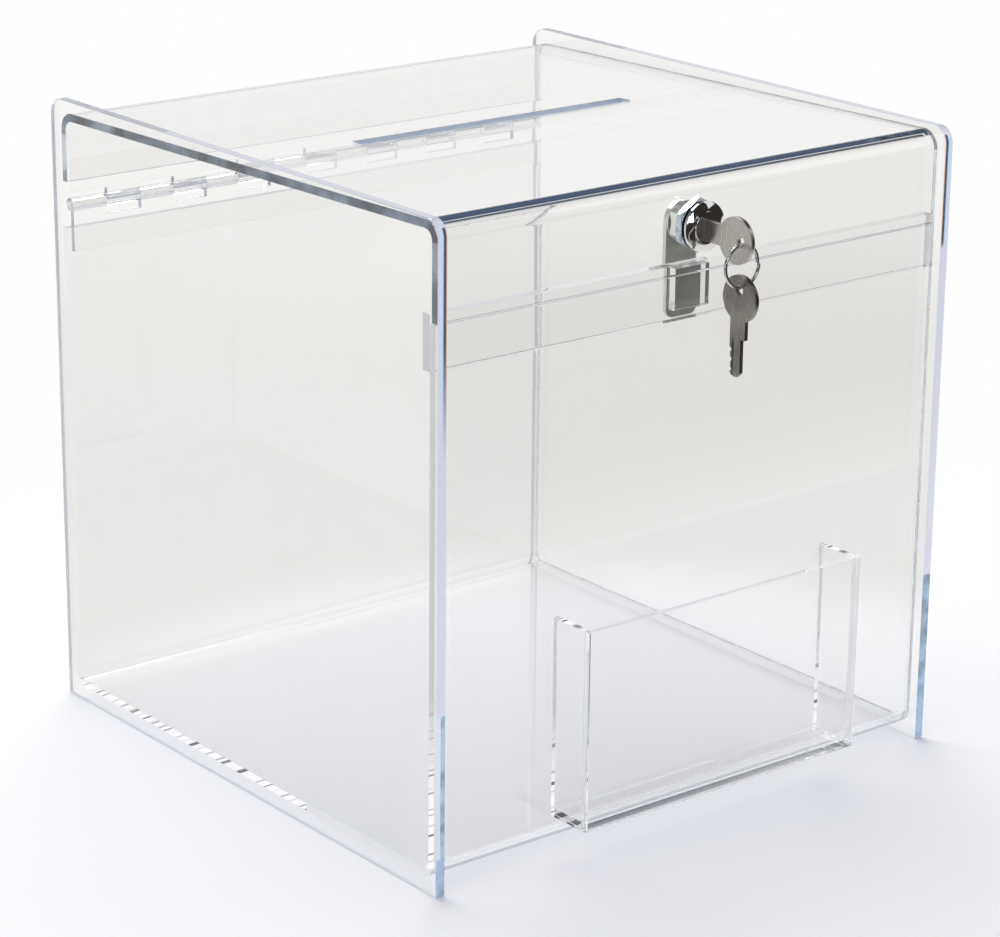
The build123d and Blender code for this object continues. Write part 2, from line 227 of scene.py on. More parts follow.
def add_lathe(name: str, outline: list[Span], centre: Vector) -> Piece:
    """A round piece spun about an axis along Y.

    Args:
        name: The object's name.
        outline: Points of its outline, as radius and place along Y from the centre, in millimetres.
        centre: A point on its axis, in metres.

    Returns:
        The new object, closed where the outline starts and ends on the axis or on itself.
    """
    points = [centre + Vector((radius, along, 0)) * MM for radius, along in outline]
    piece = add_path(name, points)
    with editing(piece, Pick.POINTS):
        pick_all()
        bpy.ops.mesh.spin(steps=ROUND_SIDES, angle=math.tau, center=centre, axis=(0, 1, 0))
        pick_all()
        bpy.ops.mesh.remove_doubles(threshold=SAME_POINT)
        bpy.ops.mesh.normals_make_consistent(inside=False)
    return piece


def apply_modifier(piece: Piece, kind: str, **settings: object) -> None:
    """Adds a modifier, sets it and applies it.

    Args:
        piece: The object to change.
        kind: The modifier's type.
        settings: Its settings by name.
    """
    activate(piece)
    modifier = piece.modifiers.new(kind.lower(), kind)
    for key, value in settings.items():
        setattr(modifier, key, value)
    bpy.ops.object.modifier_apply(modifier=modifier.name)


def combine(piece: Piece, other: Piece, operation: str = "DIFFERENCE") -> None:
    """Cuts another piece out of a piece, or joins it on, and deletes that other piece.

    Args:
        piece: The object to change.
        other: The object that is cut out or joined.
        operation: DIFFERENCE, UNION or INTERSECT.
    """
    apply_modifier(piece, "BOOLEAN", operation=operation, object=other, solver="EXACT")
    bpy.data.objects.remove(other)


def merge_points(piece: Piece) -> None:
    """Merges doubled points and dissolves the lines across flat faces.

    Args:
        piece: The object to clean.
    """
    with editing(piece, Pick.POINTS):
        pick_all()
        bpy.ops.mesh.remove_doubles(threshold=SAME_POINT)
        bpy.ops.mesh.dissolve_limited(angle_limit=math.radians(FLAT_ANGLE))


def polish_edges(piece: Piece, width: float, angle: float = SHARP_ANGLE) -> None:
    """Rounds every sharp edge a little and shades the rest smooth.

    Args:
        piece: The object to finish.
        width: The bevel's width, in millimetres.
        angle: The least angle between faces that counts as sharp, in degrees.
    """
    apply_modifier(piece, "BEVEL", width=width * MM, segments=POLISH_STEPS, limit_method="ANGLE",
                   angle_limit=math.radians(angle), use_clamp_overlap=True, miter_outer="MITER_ARC")
    shade(piece, angle)


def shade(piece: Piece, angle: float = SHARP_ANGLE) -> None:
    """Shades a piece smooth below an angle, and keeps its large faces flat.

    Args:
        piece: The object to shade.
        angle: The angle between faces above which the edge stays sharp, in degrees.
    """
    activate(piece)
    bpy.ops.object.shade_smooth_by_angle(angle=math.radians(angle))
    apply_modifier(piece, "WEIGHTED_NORMAL", keep_sharp=True, weight=100)


def fine_copy(name: str, node: str) -> Piece:
    """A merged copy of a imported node's mesh, to be made finer.

    Args:
        name: The new object's name.
        node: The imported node.

    Returns:
        The new object, which the node doesn't share its mesh with.
    """
    copied = bpy.data.objects.new(name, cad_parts[node].data.copy())
    copied.data.name = name
    copied.data.materials.clear()
    bpy.context.scene.collection.objects.link(copied)
    merge_points(copied)
    return copied


def middle_of(node: str) -> Vector:
    """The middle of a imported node's box, in metres."""
    low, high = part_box(node)
    return (low + high) / 2


def inset_box(node: str, gaps: Place) -> tuple[Vector, Vector]:
    """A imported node's box, drawn in a little on each axis, so that glued faces don't coincide.

    Args:
        node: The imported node.
        gaps: How far each side is drawn in along X, Y and Z, in millimetres.

    Returns:
        The lowest and the highest corner, in metres.
    """
    low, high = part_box(node)
    gap = Vector(gaps) * MM
    return low + gap, high - gap


# Shader tools


class Graph:
    """A short way to add nodes and links to one node tree."""

    def __init__(self, tree: Tree) -> None:
        """Keeps the tree that nodes are added to."""
        self.tree = tree

    def add(self, kind: str, **settings: object) -> Node:
        """Adds a node.

        Args:
            kind: The node's type name.
            settings: Its properties by name; a name that is an input feeds that input.

        Returns:
            The new node.
        """
        node = self.tree.nodes.new(kind)
        for key, value in settings.items():
            if hasattr(node, key):
                setattr(node, key, value)
            else:
                self.feed(node.inputs[key.replace("_", " ")], value)
        return node

    def feed(self, target: Socket, value: Feed) -> None:
        """Links an output to an input, or sets the input to a plain value.

        Args:
            target: The input.
            value: The output or the value; a colour is made opaque.
        """
        if isinstance(value, Socket):
            self.tree.links.new(value, target)
        else:
            target.default_value = (*value, 1.0) if target.type == "RGBA" else value

    def math(self, operation: str, *values: Feed, clamp: bool = False) -> Socket:
        """Works a number out from others.

        Args:
            operation: The sum to do.
            values: What it is done with.
            clamp: Whether the answer is held between 0 and 1.

        Returns:
            The output that gives the answer.
        """
        node = self.add("ShaderNodeMath", operation=operation, use_clamp=clamp)
        for target, value in zip(node.inputs, values):
            self.feed(target, value)
        return node.outputs["Value"]

    def vector(self, operation: str, *values: Feed) -> Socket:
        """Works out a vector, or the number of a distance or dot product, from vectors.

        Args:
            operation: The sum to do.
            values: What it is done with.

        Returns:
            The output that gives the answer.
        """
        node = self.add("ShaderNodeVectorMath", operation=operation)
        for target, value in zip(node.inputs, values):
            self.feed(target, value)
        return node.outputs["Value" if operation in ("DISTANCE", "DOT_PRODUCT") else "Vector"]

    def ranged(self, value: Feed, span: tuple[Feed, Feed], to: tuple[Feed, Feed] = (0.0, 1.0),
               smooth: bool = False) -> Socket:
        """Carries a value from one span over to another and holds it at both ends.

        Args:
            value: The value.
            span: Where it comes from.
            to: Where it goes.
            smooth: Whether it eases in and out.

        Returns:
            The output that gives the new value.
        """
        kind = "SMOOTHSTEP" if smooth else "LINEAR"
        node = self.add("ShaderNodeMapRange", interpolation_type=kind, Value=value, From_Min=span[0],
                        From_Max=span[1], To_Min=to[0], To_Max=to[1])
        return node.outputs["Result"]

    def noise(self, place: Feed, scale: Feed, detail: float) -> Socket:
        """Soft random patches.

        Args:
            place: Where on the piece.
            scale: How many patches go into a metre.
            detail: How often finer patches are laid over them.

        Returns:
            The output that gives their height.
        """
        return self.add("ShaderNodeTexNoise", Vector=place, Scale=scale, Detail=detail).outputs["Fac"]

    def blend(self, share: Feed, first: Feed, last: Feed, kind: str = "RGBA") -> Socket:
        """Blends two colours or two numbers.

        Args:
            share: How much there is of the last one.
            first: The first one.
            last: The last one.
            kind: RGBA for colours, FLOAT for numbers.

        Returns:
            The output that gives the blend.
        """
        return self.add("ShaderNodeMix", data_type=kind, Factor=share, A=first, B=last).outputs["Result"]

    def ramp(self, value: Feed, stops: list[tuple[float, Colour]]) -> Socket:
        """Turns a number into a colour by a row of stops.

        Args:
            value: The number.
            stops: Places in the row and their colours, from low to high.

        Returns:
            The output that gives the colour.
        """
        node = self.add("ShaderNodeValToRGB", Fac=value)
        row = node.color_ramp.elements
        for end, (place, colour) in ((row[0], stops[0]), (row[1], stops[-1])):
            end.position, end.color = place, (*colour, 1.0)
        for place, colour in stops[1:-1]:
            row.new(place).color = (*colour, 1.0)
        return node.outputs["Color"]

    def mix(self, share: Feed, first: Feed, last: Feed) -> Socket:
        """Mixes two surfaces.

        Args:
            share: How much there is of the last one.
            first: The first one.
            last: The last one.

        Returns:
            The output that gives the mixed surface.
        """
        node = self.add("ShaderNodeMixShader", Fac=share)
        self.feed(node.inputs[1], first)
        self.feed(node.inputs[2], last)
        return node.outputs["Shader"]

    def glow(self, colour: Feed, strength: Feed = 1.0) -> Socket:
        """A surface that gives off light."""
        return self.add("ShaderNodeEmission", Color=colour, Strength=strength).outputs["Emission"]

    def place(self, kind: str = "Object") -> Socket:
        """Places on the piece, or directions for Generated in the world."""
        return self.add("ShaderNodeTexCoord").outputs[kind]

    def parts(self, vector: Feed) -> Sockets:
        """X, Y and Z of a vector."""
        return self.add("ShaderNodeSeparateXYZ", Vector=vector).outputs

    def rays(self) -> Sockets:
        """What is known about the ray that meets the surface."""
        return self.add("ShaderNodeLightPath").outputs

    def group(self, tree: Tree, values: dict[str, float]) -> Sockets:
        """Places a shared group, fed by places on the piece.

        Args:
            tree: The group.
            values: Its inputs in this material.

        Returns:
            The group's outputs.
        """
        node = self.add("ShaderNodeGroup", node_tree=tree, Place=self.place())
        for label, value in values.items():
            self.feed(node.inputs[label], value)
        return node.outputs


def new_group(name: str, inputs: dict[str, float], outputs: list[str]) -> tuple[Graph, Sockets, Sockets]:
    """A node group with number sockets, which reads places on the piece.

    Args:
        name: The group's name.
        inputs: Its inputs and their first values.
        outputs: The names of its outputs.

    Returns:
        The graph to build in, what the group is given and what it puts out.
    """
    tree = bpy.data.node_groups.new(name, "ShaderNodeTree")
    tree.interface.new_socket("Place", in_out="INPUT", socket_type="NodeSocketVector")
    for label, value in inputs.items():
        socket = tree.interface.new_socket(label, in_out="INPUT", socket_type="NodeSocketFloat")
        socket.default_value = value
    for label in outputs:
        kind = "NodeSocketColor" if label == "Colour" else "NodeSocketFloat"
        tree.interface.new_socket(label, in_out="OUTPUT", socket_type=kind)
    graph = Graph(tree)
    return graph, graph.add("NodeGroupInput").outputs, graph.add("NodeGroupOutput").inputs


def handling_group() -> Tree:
    """Fine unevenness of a handled surface: a height for bump and a roughness that varies in patches."""
    inputs = {"Patch scale": 30.0, "Grain scale": 900.0, "Low roughness": 0.1, "High roughness": 0.3}
    graph, given, out = new_group("Handled surface", inputs, ["Height", "Roughness"])
    patch = graph.noise(given["Place"], given["Patch scale"], 3.0)
    roughness = graph.ranged(patch, (0.35, 0.65), (given["Low roughness"], given["High roughness"]))
    graph.feed(out["Roughness"], roughness)
    graph.feed(out["Height"], graph.noise(given["Place"], given["Grain scale"], 2.0))
    return graph.tree


def brushing_group() -> Tree:
    """Fine lines along one axis, as brushing or rolling leaves them."""
    inputs = {"Line scale": 400.0, "Stretch": 0.04, "Low roughness": 0.2, "High roughness": 0.4}
    graph, given, out = new_group("Brushed surface", inputs, ["Height", "Roughness"])
    squeeze = graph.add("ShaderNodeCombineXYZ", X=1.0, Y=1.0, Z=given["Stretch"]).outputs["Vector"]
    lines = graph.noise(graph.vector("MULTIPLY", given["Place"], squeeze), given["Line scale"], 4.0)
    roughness = graph.ranged(lines, (0.3, 0.7), (given["Low roughness"], given["High roughness"]))
    graph.feed(out["Roughness"], roughness)
    graph.feed(out["Height"], lines)
    return graph.tree


def saw_marks_and_painted_glow_group() -> Tree:
    """Uneven saw marks across a sheet's cut edge, drawn in painted light: a zone low down where emitted colour
    replaces the edge, the dashes in it and how dark each one is, and a painted glow towards the rear.
    """
    inputs = {"Marks per metre": 150.0, "Wander": 4.0, "Dash": 0.7, "Reach": 0.05, "Reach slope": 0.235,
              "Floor end": -1.0, "Painted rear glow": 0.0, "Upright": 1.0}
    graph, given, out = new_group("Saw marks in painted light", inputs, ["Zone", "Dash"])
    floor_top, least_cut, calm = 0.0105, 0.04, 0.5
    fade_out, rear = (0.48, 1.15), (-0.10, 0.15)
    place = graph.parts(given["Place"])
    along = graph.math("MULTIPLY_ADD", place["Z"], given["Upright"], place["Y"])
    line = graph.add("ShaderNodeCombineXYZ", X=along).outputs["Vector"]
    push = graph.math("MULTIPLY", graph.noise(line, 70.0, 2.0), given["Wander"])
    count = graph.math("MULTIPLY_ADD", along, given["Marks per metre"], push)
    late = graph.math("GREATER_THAN", graph.math("FRACT", count), given["Dash"])
    dash = graph.math("MULTIPLY", late, graph.ranged(graph.noise(line, 120.0, 0.0), (0.38, 0.60)))
    slope = graph.math("MULTIPLY", place["Y"], given["Reach slope"])
    reach = graph.math("SUBTRACT", given["Reach"], slope)
    fade = graph.ranged(graph.math("DIVIDE", place["Z"], reach), fade_out, (1.0, 0.0))
    early = graph.math("LESS_THAN", place["Y"], given["Floor end"])
    clear = graph.math("MULTIPLY", early, graph.math("LESS_THAN", place["Z"], floor_top))
    cut = graph.math("SUBTRACT", fade, clear, clamp=True)
    # Painted glow: emitted colour towards the rear of the edge, and at half strength where the floor's part of the
    # edge is cleared of marks.
    behind = graph.ranged(place["Y"], rear, (0.0, given["Painted rear glow"]))
    rest = graph.math("MAXIMUM", behind, graph.math("MULTIPLY", clear, calm))
    graph.feed(out["Zone"], graph.math("MAXIMUM", cut, rest))
    graph.feed(out["Dash"], graph.math("MULTIPLY", dash, graph.math("GREATER_THAN", cut, least_cut)))
    return graph.tree


def painted_edge_reflection_group() -> Tree:
    """Painted reflections on the front edges: a painted dark line between blue and amber, and painted mottled pale
    blue low down, emitted over the glass.
    """
    inputs = {"Inner side": 0.1450, "Width": 0.0026, "Low end": 0.085, "Top end": 0.3005, "Line end": 0.20,
              "Whole end": 0.018}
    graph, given, out = new_group("Painted edge reflections", inputs, ["Colour", "Mask"])
    # Colours of the painted reflections low down: pale and slate blue patches, and milky.
    pale_blue, slate_blue, milky = (0.42, 0.55, 0.72), (0.20, 0.29, 0.40), (0.72, 0.76, 0.84)
    line_full = 0.25
    place = graph.parts(given["Place"])
    inward = graph.math("SUBTRACT", graph.math("ABSOLUTE", place["X"]), given["Inner side"])
    part = graph.math("DIVIDE", inward, given["Width"])
    # The painted line across the edge, from amber through dark to blue.
    line = graph.ramp(part, [(0.06, (0.85, 0.58, 0.36)), (0.20, (0.60, 0.32, 0.16)), (0.28, (0.015, 0.02, 0.035)),
                             (0.64, (0.015, 0.03, 0.08)), (0.74, (0.06, 0.20, 0.50)), (0.86, (0.42, 0.66, 0.93))])
    patch = graph.ranged(graph.noise(given["Place"], 130.0, 3.0), (0.40, 0.66))
    inside = graph.math("COMPARE", part, 0.5, 0.5)
    mottled = graph.math("MAXIMUM", inside, graph.math("LESS_THAN", place["Z"], given["Whole end"]))
    foot = graph.blend(mottled, milky, graph.blend(patch, pale_blue, slate_blue))
    high = graph.math("GREATER_THAN", place["Z"], given["Low end"])
    graph.feed(out["Colour"], graph.blend(high, foot, line))
    lined = graph.math("MULTIPLY", inside, graph.ranged(place["Z"], (given["Line end"], line_full)))
    shown = graph.math("MAXIMUM", lined, graph.math("SUBTRACT", 1.0, high))
    below = graph.math("LESS_THAN", place["Z"], given["Top end"])
    graph.feed(out["Mask"], graph.math("MULTIPLY", below, shown))
    return graph.tree


def thread_group() -> Tree:
    """Flanks of a fine thread round an axis along Y, as a height that rises and falls once per turn."""
    graph, given, out = new_group("Thread", {"Turns per metre": 1000.0}, ["Height"])
    turns = graph.math("MULTIPLY", graph.parts(given["Place"])["Y"], given["Turns per metre"])
    graph.feed(out["Height"], graph.math("PINGPONG", turns, 0.5))
    return graph.tree


class Groups:
    """The node groups that several finishes share, each built once."""

    handling: Tree
    brushing: Tree
    saw: Tree
    painted_edge_reflection: Tree
    thread: Tree

    @classmethod
    def build(cls) -> None:
        """Builds the groups."""
        cls.handling = handling_group()
        cls.brushing = brushing_group()
        cls.saw = saw_marks_and_painted_glow_group()
        cls.painted_edge_reflection = painted_edge_reflection_group()
        cls.thread = thread_group()


def new_material(name: str, colour: Colour, values: dict[str, float]) -> tuple[Material, Graph, Node]:
    """A material with one Principled shader.

    Args:
        name: The material's name.
        colour: Its base colour, also in a solid view.
        values: Other inputs of the shader.

    Returns:
        The material, the graph to build in and the Principled shader.
    """
    material = bpy.data.materials.new(name)
    material.use_nodes = True
    material.diffuse_color = (*colour, 1.0)
    graph = Graph(material.node_tree)
    shader = material.node_tree.nodes["Principled BSDF"]
    for label, value in {"Base Color": colour, **values}.items():
        graph.feed(shader.inputs[label], value)
    return material, graph, shader


def patches(graph: Graph, scale: float, span: Span = (0.0, 1.0)) -> Socket:
    """A number that varies in soft patches over the piece.

    Args:
        graph: The material's graph.
        scale: How many patches go into a metre.
        span: The number's lowest and highest value.

    Returns:
        The output that gives the number.
    """
    values = {"Patch scale": scale, "Low roughness": span[0], "High roughness": span[1]}
    return graph.group(Groups.handling, values)["Roughness"]


def add_bump(graph: Graph, height: Socket, shader: Node, strength: float, depth: float) -> None:
    """Feeds a height into a shader's normal.

    Args:
        graph: The material's graph.
        height: The output that gives the height.
        shader: The Principled shader.
        strength: How strong the bump is, from 0 to 1.
        depth: The height's full depth, in millimetres.
    """
    bump = graph.add("ShaderNodeBump", Strength=strength, Distance=depth * MM, Height=height)
    graph.feed(shader.inputs["Normal"], bump.outputs["Normal"])


@dataclass(frozen=True)
class ClearSheet:
    """Clear acrylic: glass that lamps and soft light pass straight through, with painted light for rays that have
    passed many surfaces.
    """

    name: str
    tint: Colour = (0.985, 0.983, 0.98)
    # painted_shade_tint, laid in patches of painted_streak_scale over the tint, is painted shade: dark streaks that
    # stand in for the dark room seen in an edge.
    painted_shade_tint: Colour | None = None
    ior: float = 1.49
    gloss: Span = (0.0, 0.012)
    gloss_scale: float = 14.0
    shade_through: Colour = (0.93, 0.935, 0.945)
    depth_colour: Colour = (0.60, 0.66, 0.78)
    depth_density: float = 2.0
    satin: float = 0.0
    satin_colour: Colour = (0.84, 0.855, 0.865)
    glow_through: float = 0.0
    painted_streak_scale: float = 16.0
    saw_and_painted_glow_values: dict[str, float] | None = None
    # painted_saw_glow and saw_mark_painted_dark are the emitted colours of the saw marks: painted light, bright
    # between dark dashes.
    painted_saw_glow: Colour = (1.0, 1.0, 1.0)
    saw_mark_painted_dark: Colour = (0.045, 0.055, 0.065)
    # painted_edge_reflection: how much painted reflection is laid over an edge.
    painted_edge_reflection: float = 0.0
    painted_edge_reflection_values: dict[str, float] | None = None
    # painted_deep_light is painted light: an emitted colour that rays see once they have passed more than piped_depth
    # surfaces.
    painted_deep_light: Colour = (0.60, 0.62, 0.645)
    piped_depth: float = 13.0

    def material(self) -> Material:
        """Builds the material.

        Returns:
            The new material.
        """
        material, graph, shader = new_material(self.name, self.tint, {"Transmission Weight": 1.0, "IOR": self.ior})
        graph.feed(shader.inputs["Roughness"], patches(graph, self.gloss_scale, self.gloss))
        tone = None
        # Painted shade: dark patches of the painted shade tint over the tint.
        if self.painted_shade_tint is not None:
            tone = graph.blend(patches(graph, self.painted_streak_scale), self.tint, self.painted_shade_tint)
            graph.feed(shader.inputs["Base Color"], tone)
        glass = shader.outputs["BSDF"]
        if self.satin > 0:
            glass = self.cut_edge(graph, glass, tone)
        # Painted edge reflections, laid over the glass where a finish asks for them.
        if self.painted_edge_reflection > 0:
            glass = self.with_painted_edge_reflections(graph, glass)
        ray = graph.rays()
        # Past piped_depth surfaces a ray sees the painted deep light, an emitted colour, instead of the glass.
        lost = graph.math("GREATER_THAN", ray["Ray Depth"], self.piped_depth)
        seen = graph.mix(lost, glass, graph.glow(self.painted_deep_light))
        clear = graph.add("ShaderNodeBsdfTransparent", Color=self.shade_through).outputs["BSDF"]
        passed = graph.math("MAXIMUM", ray["Is Shadow Ray"], ray["Is Diffuse Ray"])
        depth = graph.add("ShaderNodeVolumeAbsorption", Color=self.depth_colour, Density=self.depth_density)
        output = material.node_tree.nodes["Material Output"]
        graph.feed(output.inputs["Surface"], graph.mix(passed, seen, clear))
        graph.feed(output.inputs["Volume"], depth.outputs["Volume"])
        return material

    def cut_edge(self, graph: Graph, glass: Socket, tone: Socket | None) -> Socket:
        """Mixes a cut edge's satin surface and its saw marks, drawn in painted light as emitted bright colour with
        dark dashes, into the clear surface.

        Args:
            graph: The material's graph.
            glass: The clear surface.
            tone: The streaked colour, if the edge has one.

        Returns:
            The mixed surface.
        """
        matt = graph.add("ShaderNodeBsdfDiffuse", Color=self.satin_colour if tone is None else tone).outputs["BSDF"]
        haze = graph.add("ShaderNodeBsdfTranslucent", Color=self.satin_colour).outputs["BSDF"]
        edge = graph.mix(self.satin, glass, graph.mix(self.glow_through, matt, haze))
        if self.saw_and_painted_glow_values is None:
            return edge
        marks = graph.group(Groups.saw, self.saw_and_painted_glow_values)
        # The saw marks are painted light: emitted colours replace the edge in their zone.
        colour = graph.blend(marks["Dash"], self.painted_saw_glow, self.saw_mark_painted_dark)
        return graph.mix(marks["Zone"], edge, graph.glow(colour))

    def with_painted_edge_reflections(self, graph: Graph, glass: Socket) -> Socket:
        """Lays the painted edge reflections, as emitted colours, over the clear surface.

        Args:
            graph: The material's graph.
            glass: The clear surface.

        Returns:
            The mixed surface.
        """
        lines = graph.group(Groups.painted_edge_reflection, self.painted_edge_reflection_values or {})
        amount = graph.math("MULTIPLY", lines["Mask"], self.painted_edge_reflection)
        return graph.mix(amount, glass, graph.glow(lines["Colour"]))


@dataclass(frozen=True)
class PlatedMetal:
    """A plated metal with fine lines or patches in its gloss."""

    name: str
    colour: Colour
    gloss: Span
    line_scale: float = 600.0
    stretch: float = 1.0
    bump: float = 0.15
    bump_depth: float = 0.02
    tone: Colour | None = None
    tone_scale: float = 60.0
    threaded: bool = False
    thread_depth: float = 0.8

    def material(self) -> Material:
        """Builds the material.

        Returns:
            The new material.
        """
        material, graph, shader = new_material(self.name, self.colour, {"Metallic": 1.0})
        surface = graph.group(Groups.brushing, {
            "Line scale": self.line_scale, "Stretch": self.stretch, "Low roughness": self.gloss[0],
            "High roughness": self.gloss[1]})
        graph.feed(shader.inputs["Roughness"], surface["Roughness"])
        if self.threaded:
            thread = graph.group(Groups.thread, {"Turns per metre": 1.0 / MM})
            add_bump(graph, thread["Height"], shader, 1.0, self.thread_depth)
        else:
            add_bump(graph, surface["Height"], shader, self.bump, self.bump_depth)
        if self.tone is not None:
            tone = graph.blend(patches(graph, self.tone_scale), self.colour, self.tone)
            graph.feed(shader.inputs["Base Color"], tone)
        return material


class Finishes:
    """Every finish of the object, built once and handed to the pieces."""

    def __init__(self) -> None:
        """Builds the materials."""
        Groups.build()
        self.build_panels()
        self.build_sheets()
        self.build_sawn()
        self.build_metals()

    def build_panels(self) -> None:
        """The side panels: their faces, their polished edges and their satin feet."""
        # The panels' deep rays see pale painted light.
        light = {"painted_deep_light": (0.76, 0.77, 0.86)}
        foot = {"gloss": (0.02, 0.08), **light}
        ends = {"Whole end": 0.085, "Line end": 0.246}
        self.panel = ClearSheet("Clear side panel", **light).material()
        self.panel_top = ClearSheet("Polished panel edge", tint=(0.80, 0.83, 0.83), **light).material()
        # The front edges get painted reflections over the glass.
        self.panel_front = ClearSheet("Polished left front edge", painted_edge_reflection=0.9, **light).material()
        self.far_front = ClearSheet("Polished right front edge", painted_edge_reflection=0.9, painted_edge_reflection_values=ends, **light).material()
        self.foot = ClearSheet("Satin panel edge", satin=0.85, satin_colour=(0.98, 0.99, 0.97), glow_through=0.6,
                               **foot).material()
        self.ground = ClearSheet("Satin panel foot", satin=0.9, satin_colour=(0.98, 0.985, 0.98), glow_through=0.1,
                                 **foot).material()

    def build_sheets(self) -> None:
        """Plain and glued sheet, and the lid with its edges and its slot."""
        # The lid's deep rays see dark slate painted shade.
        light = {"painted_deep_light": (0.085, 0.115, 0.175)}
        cut = {"gloss": (0.02, 0.08)}
        self.sheet = ClearSheet("Clear acrylic").material()
        self.glued = ClearSheet("Glued clear acrylic", ior=1.18).material()
        self.cut = ClearSheet("Cut acrylic edge", satin=0.5, **cut).material()
        self.far_end = ClearSheet("Cut far end", satin=0.35, ior=1.3, satin_colour=(0.62, 0.68, 0.75),
                                  **cut).material()
        self.lid = ClearSheet("Clear lid sheet", **light).material()
        # The lid's top edges are painted dark slate-blue with darker painted streaks, and its cut ends pale blue with
        # dark painted streaks: painted reflection of a dark room.
        self.edge = ClearSheet("Polished lid edge in painted shade", tint=(0.40, 0.52, 0.63), painted_shade_tint=(0.015, 0.03, 0.06), satin=0.75,
                               painted_streak_scale=58.0, **light).material()
        self.lid_end = ClearSheet("Cut lid edge in painted shade", tint=(0.80, 0.92, 1.0), painted_shade_tint=(0.10, 0.15, 0.20), satin=0.30,
                                  painted_streak_scale=42.0, **cut, **light).material()
        # The slot wall's deep rays see blue painted light.
        self.slot = ClearSheet("Satin slot wall", satin=0.80, satin_colour=(0.74, 0.88, 1.0), glow_through=0.35,
                               painted_deep_light=(0.55, 0.66, 0.80), **cut).material()

    def build_sawn(self) -> None:
        """Sawn edges: the bent body's end, and the pocket cheeks' fronts and tops, with saw marks drawn in painted
        light.
        """
        # The body's end also gets a painted glow towards its rear.
        marks = {"Marks per metre": 145.0, "Wander": 3.0, "Dash": 0.74, "Floor end": -0.035, "Painted rear glow": 0.6,
                 "Upright": 1.9}
        # The body's sawn end: its deep rays see pale painted light.
        self.sawn = ClearSheet("Sawn acrylic edge", gloss=(0.02, 0.08), satin=0.6, satin_colour=(0.95, 0.96, 0.955),
                               painted_deep_light=(0.78, 0.80, 0.82), saw_and_painted_glow_values=marks).material()
        # The pocket's saw marks are painted light too, with lighter dark dashes.
        pocket = {"gloss": (0.02, 0.08), "saw_mark_painted_dark": (0.14, 0.15, 0.15)}
        marks = {"Marks per metre": 210.0, "Wander": 6.0, "Dash": 0.66, "Reach": 0.062, "Reach slope": 0.0}
        self.strip = ClearSheet("Sawn pocket edge", satin=0.5, saw_and_painted_glow_values=marks, **pocket).material()
        marks = {**marks, "Dash": 0.58, "Reach": 1.0}
        self.rim = ClearSheet("Sawn pocket top", ior=1.18, satin=0.3, saw_and_painted_glow_values=marks, **pocket).material()

    def build_metals(self) -> None:
        """The lock's, the keys' and the ring's metals."""
        self.chrome = PlatedMetal("Polished chrome", (0.80, 0.79, 0.78), (0.02, 0.07), bump=0.03).material()
        self.thread = PlatedMetal("Chrome thread", (0.72, 0.71, 0.70), (0.10, 0.22), threaded=True).material()
        self.zinc = PlatedMetal("Blue zinc", (0.36, 0.44, 0.52), (0.16, 0.38), tone=(0.72, 0.79, 0.84),
                                line_scale=900.0, tone_scale=420.0, bump=0.4).material()
        self.cam = PlatedMetal("Dull zinc steel", (0.70, 0.705, 0.63), (0.30, 0.44), tone=(0.80, 0.805, 0.74),
                               line_scale=500.0, tone_scale=90.0, bump=0.2).material()
        self.screw = PlatedMetal("Zinc screw", (0.60, 0.61, 0.62), (0.2, 0.35)).material()
        self.brass = PlatedMetal("Plain brass", (0.71, 0.58, 0.32), (0.25, 0.4)).material()
        self.spring = PlatedMetal("Spring wire", (0.50, 0.50, 0.50), (0.2, 0.3)).material()
        lines = {"line_scale": 900.0, "stretch": 0.06, "bump": 0.2}
        self.nickel = PlatedMetal("Satin nickel", (0.52, 0.50, 0.47), (0.24, 0.36), **lines).material()
        # A darker copy of the satin nickel for the hanging key: painted shade, with lighter patches of tone.
        self.shaded_nickel = PlatedMetal("Nickel in painted shade", (0.17, 0.158, 0.142), (0.24, 0.36), tone=(0.30, 0.285, 0.262),
                                tone_scale=55.0, **lines).material()
        self.ring = PlatedMetal("Bright nickel", (0.72, 0.71, 0.70), (0.08, 0.16)).material()


def dress(piece: Piece, material: Material) -> None:
    """Gives a piece one material all over.

    Args:
        piece: The object to dress.
        material: Its material.
    """
    piece.data.materials.clear()
    piece.data.materials.append(material)


def hand_over(piece: Piece, node: str, body: str) -> Piece:
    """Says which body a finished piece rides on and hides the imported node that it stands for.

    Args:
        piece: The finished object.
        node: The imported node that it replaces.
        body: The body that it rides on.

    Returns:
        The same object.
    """
    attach(piece, body)
    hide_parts(node)
    LOG.info("%s: %d faces, rides on %s", piece.name, len(piece.data.polygons), body)
    return piece


def bent_sheet(name: str, middle_line: list[Vector], radius: float, thickness: float, span: Span) -> Piece:
    """A sheet of even thickness, bent along a line in the YZ plane.

    Args:
        name: The object's name.
        middle_line: Corners of the line through the middle of the sheet's thickness, in metres.
        radius: The bends' radius at that line, in millimetres.
        thickness: The sheet's thickness, in millimetres.
        span: Where the sheet starts and ends along X, in metres.

    Returns:
        The new object, with sharp cut edges.
    """
    start = Vector((span[0], 0, 0))
    piece = add_path(name, [start + point for point in middle_line])
    with editing(piece, Pick.POINTS):
        pick_all()
        bpy.ops.mesh.bevel(offset_type="OFFSET", offset=radius * MM, segments=BEND_STEPS, affect="VERTICES")
        pick_all()
        bpy.ops.mesh.extrude_region_move(TRANSFORM_OT_translate={"value": (span[1] - span[0], 0, 0)})
        pick_all()
        bpy.ops.mesh.normals_make_consistent(inside=False)
    apply_modifier(piece, "SOLIDIFY", thickness=thickness * MM, offset=0.0, use_even_offset=True, use_rim=True)
    with editing(piece, Pick.POINTS):
        pick_all()
        bpy.ops.mesh.normals_make_consistent(inside=False)
    return piece


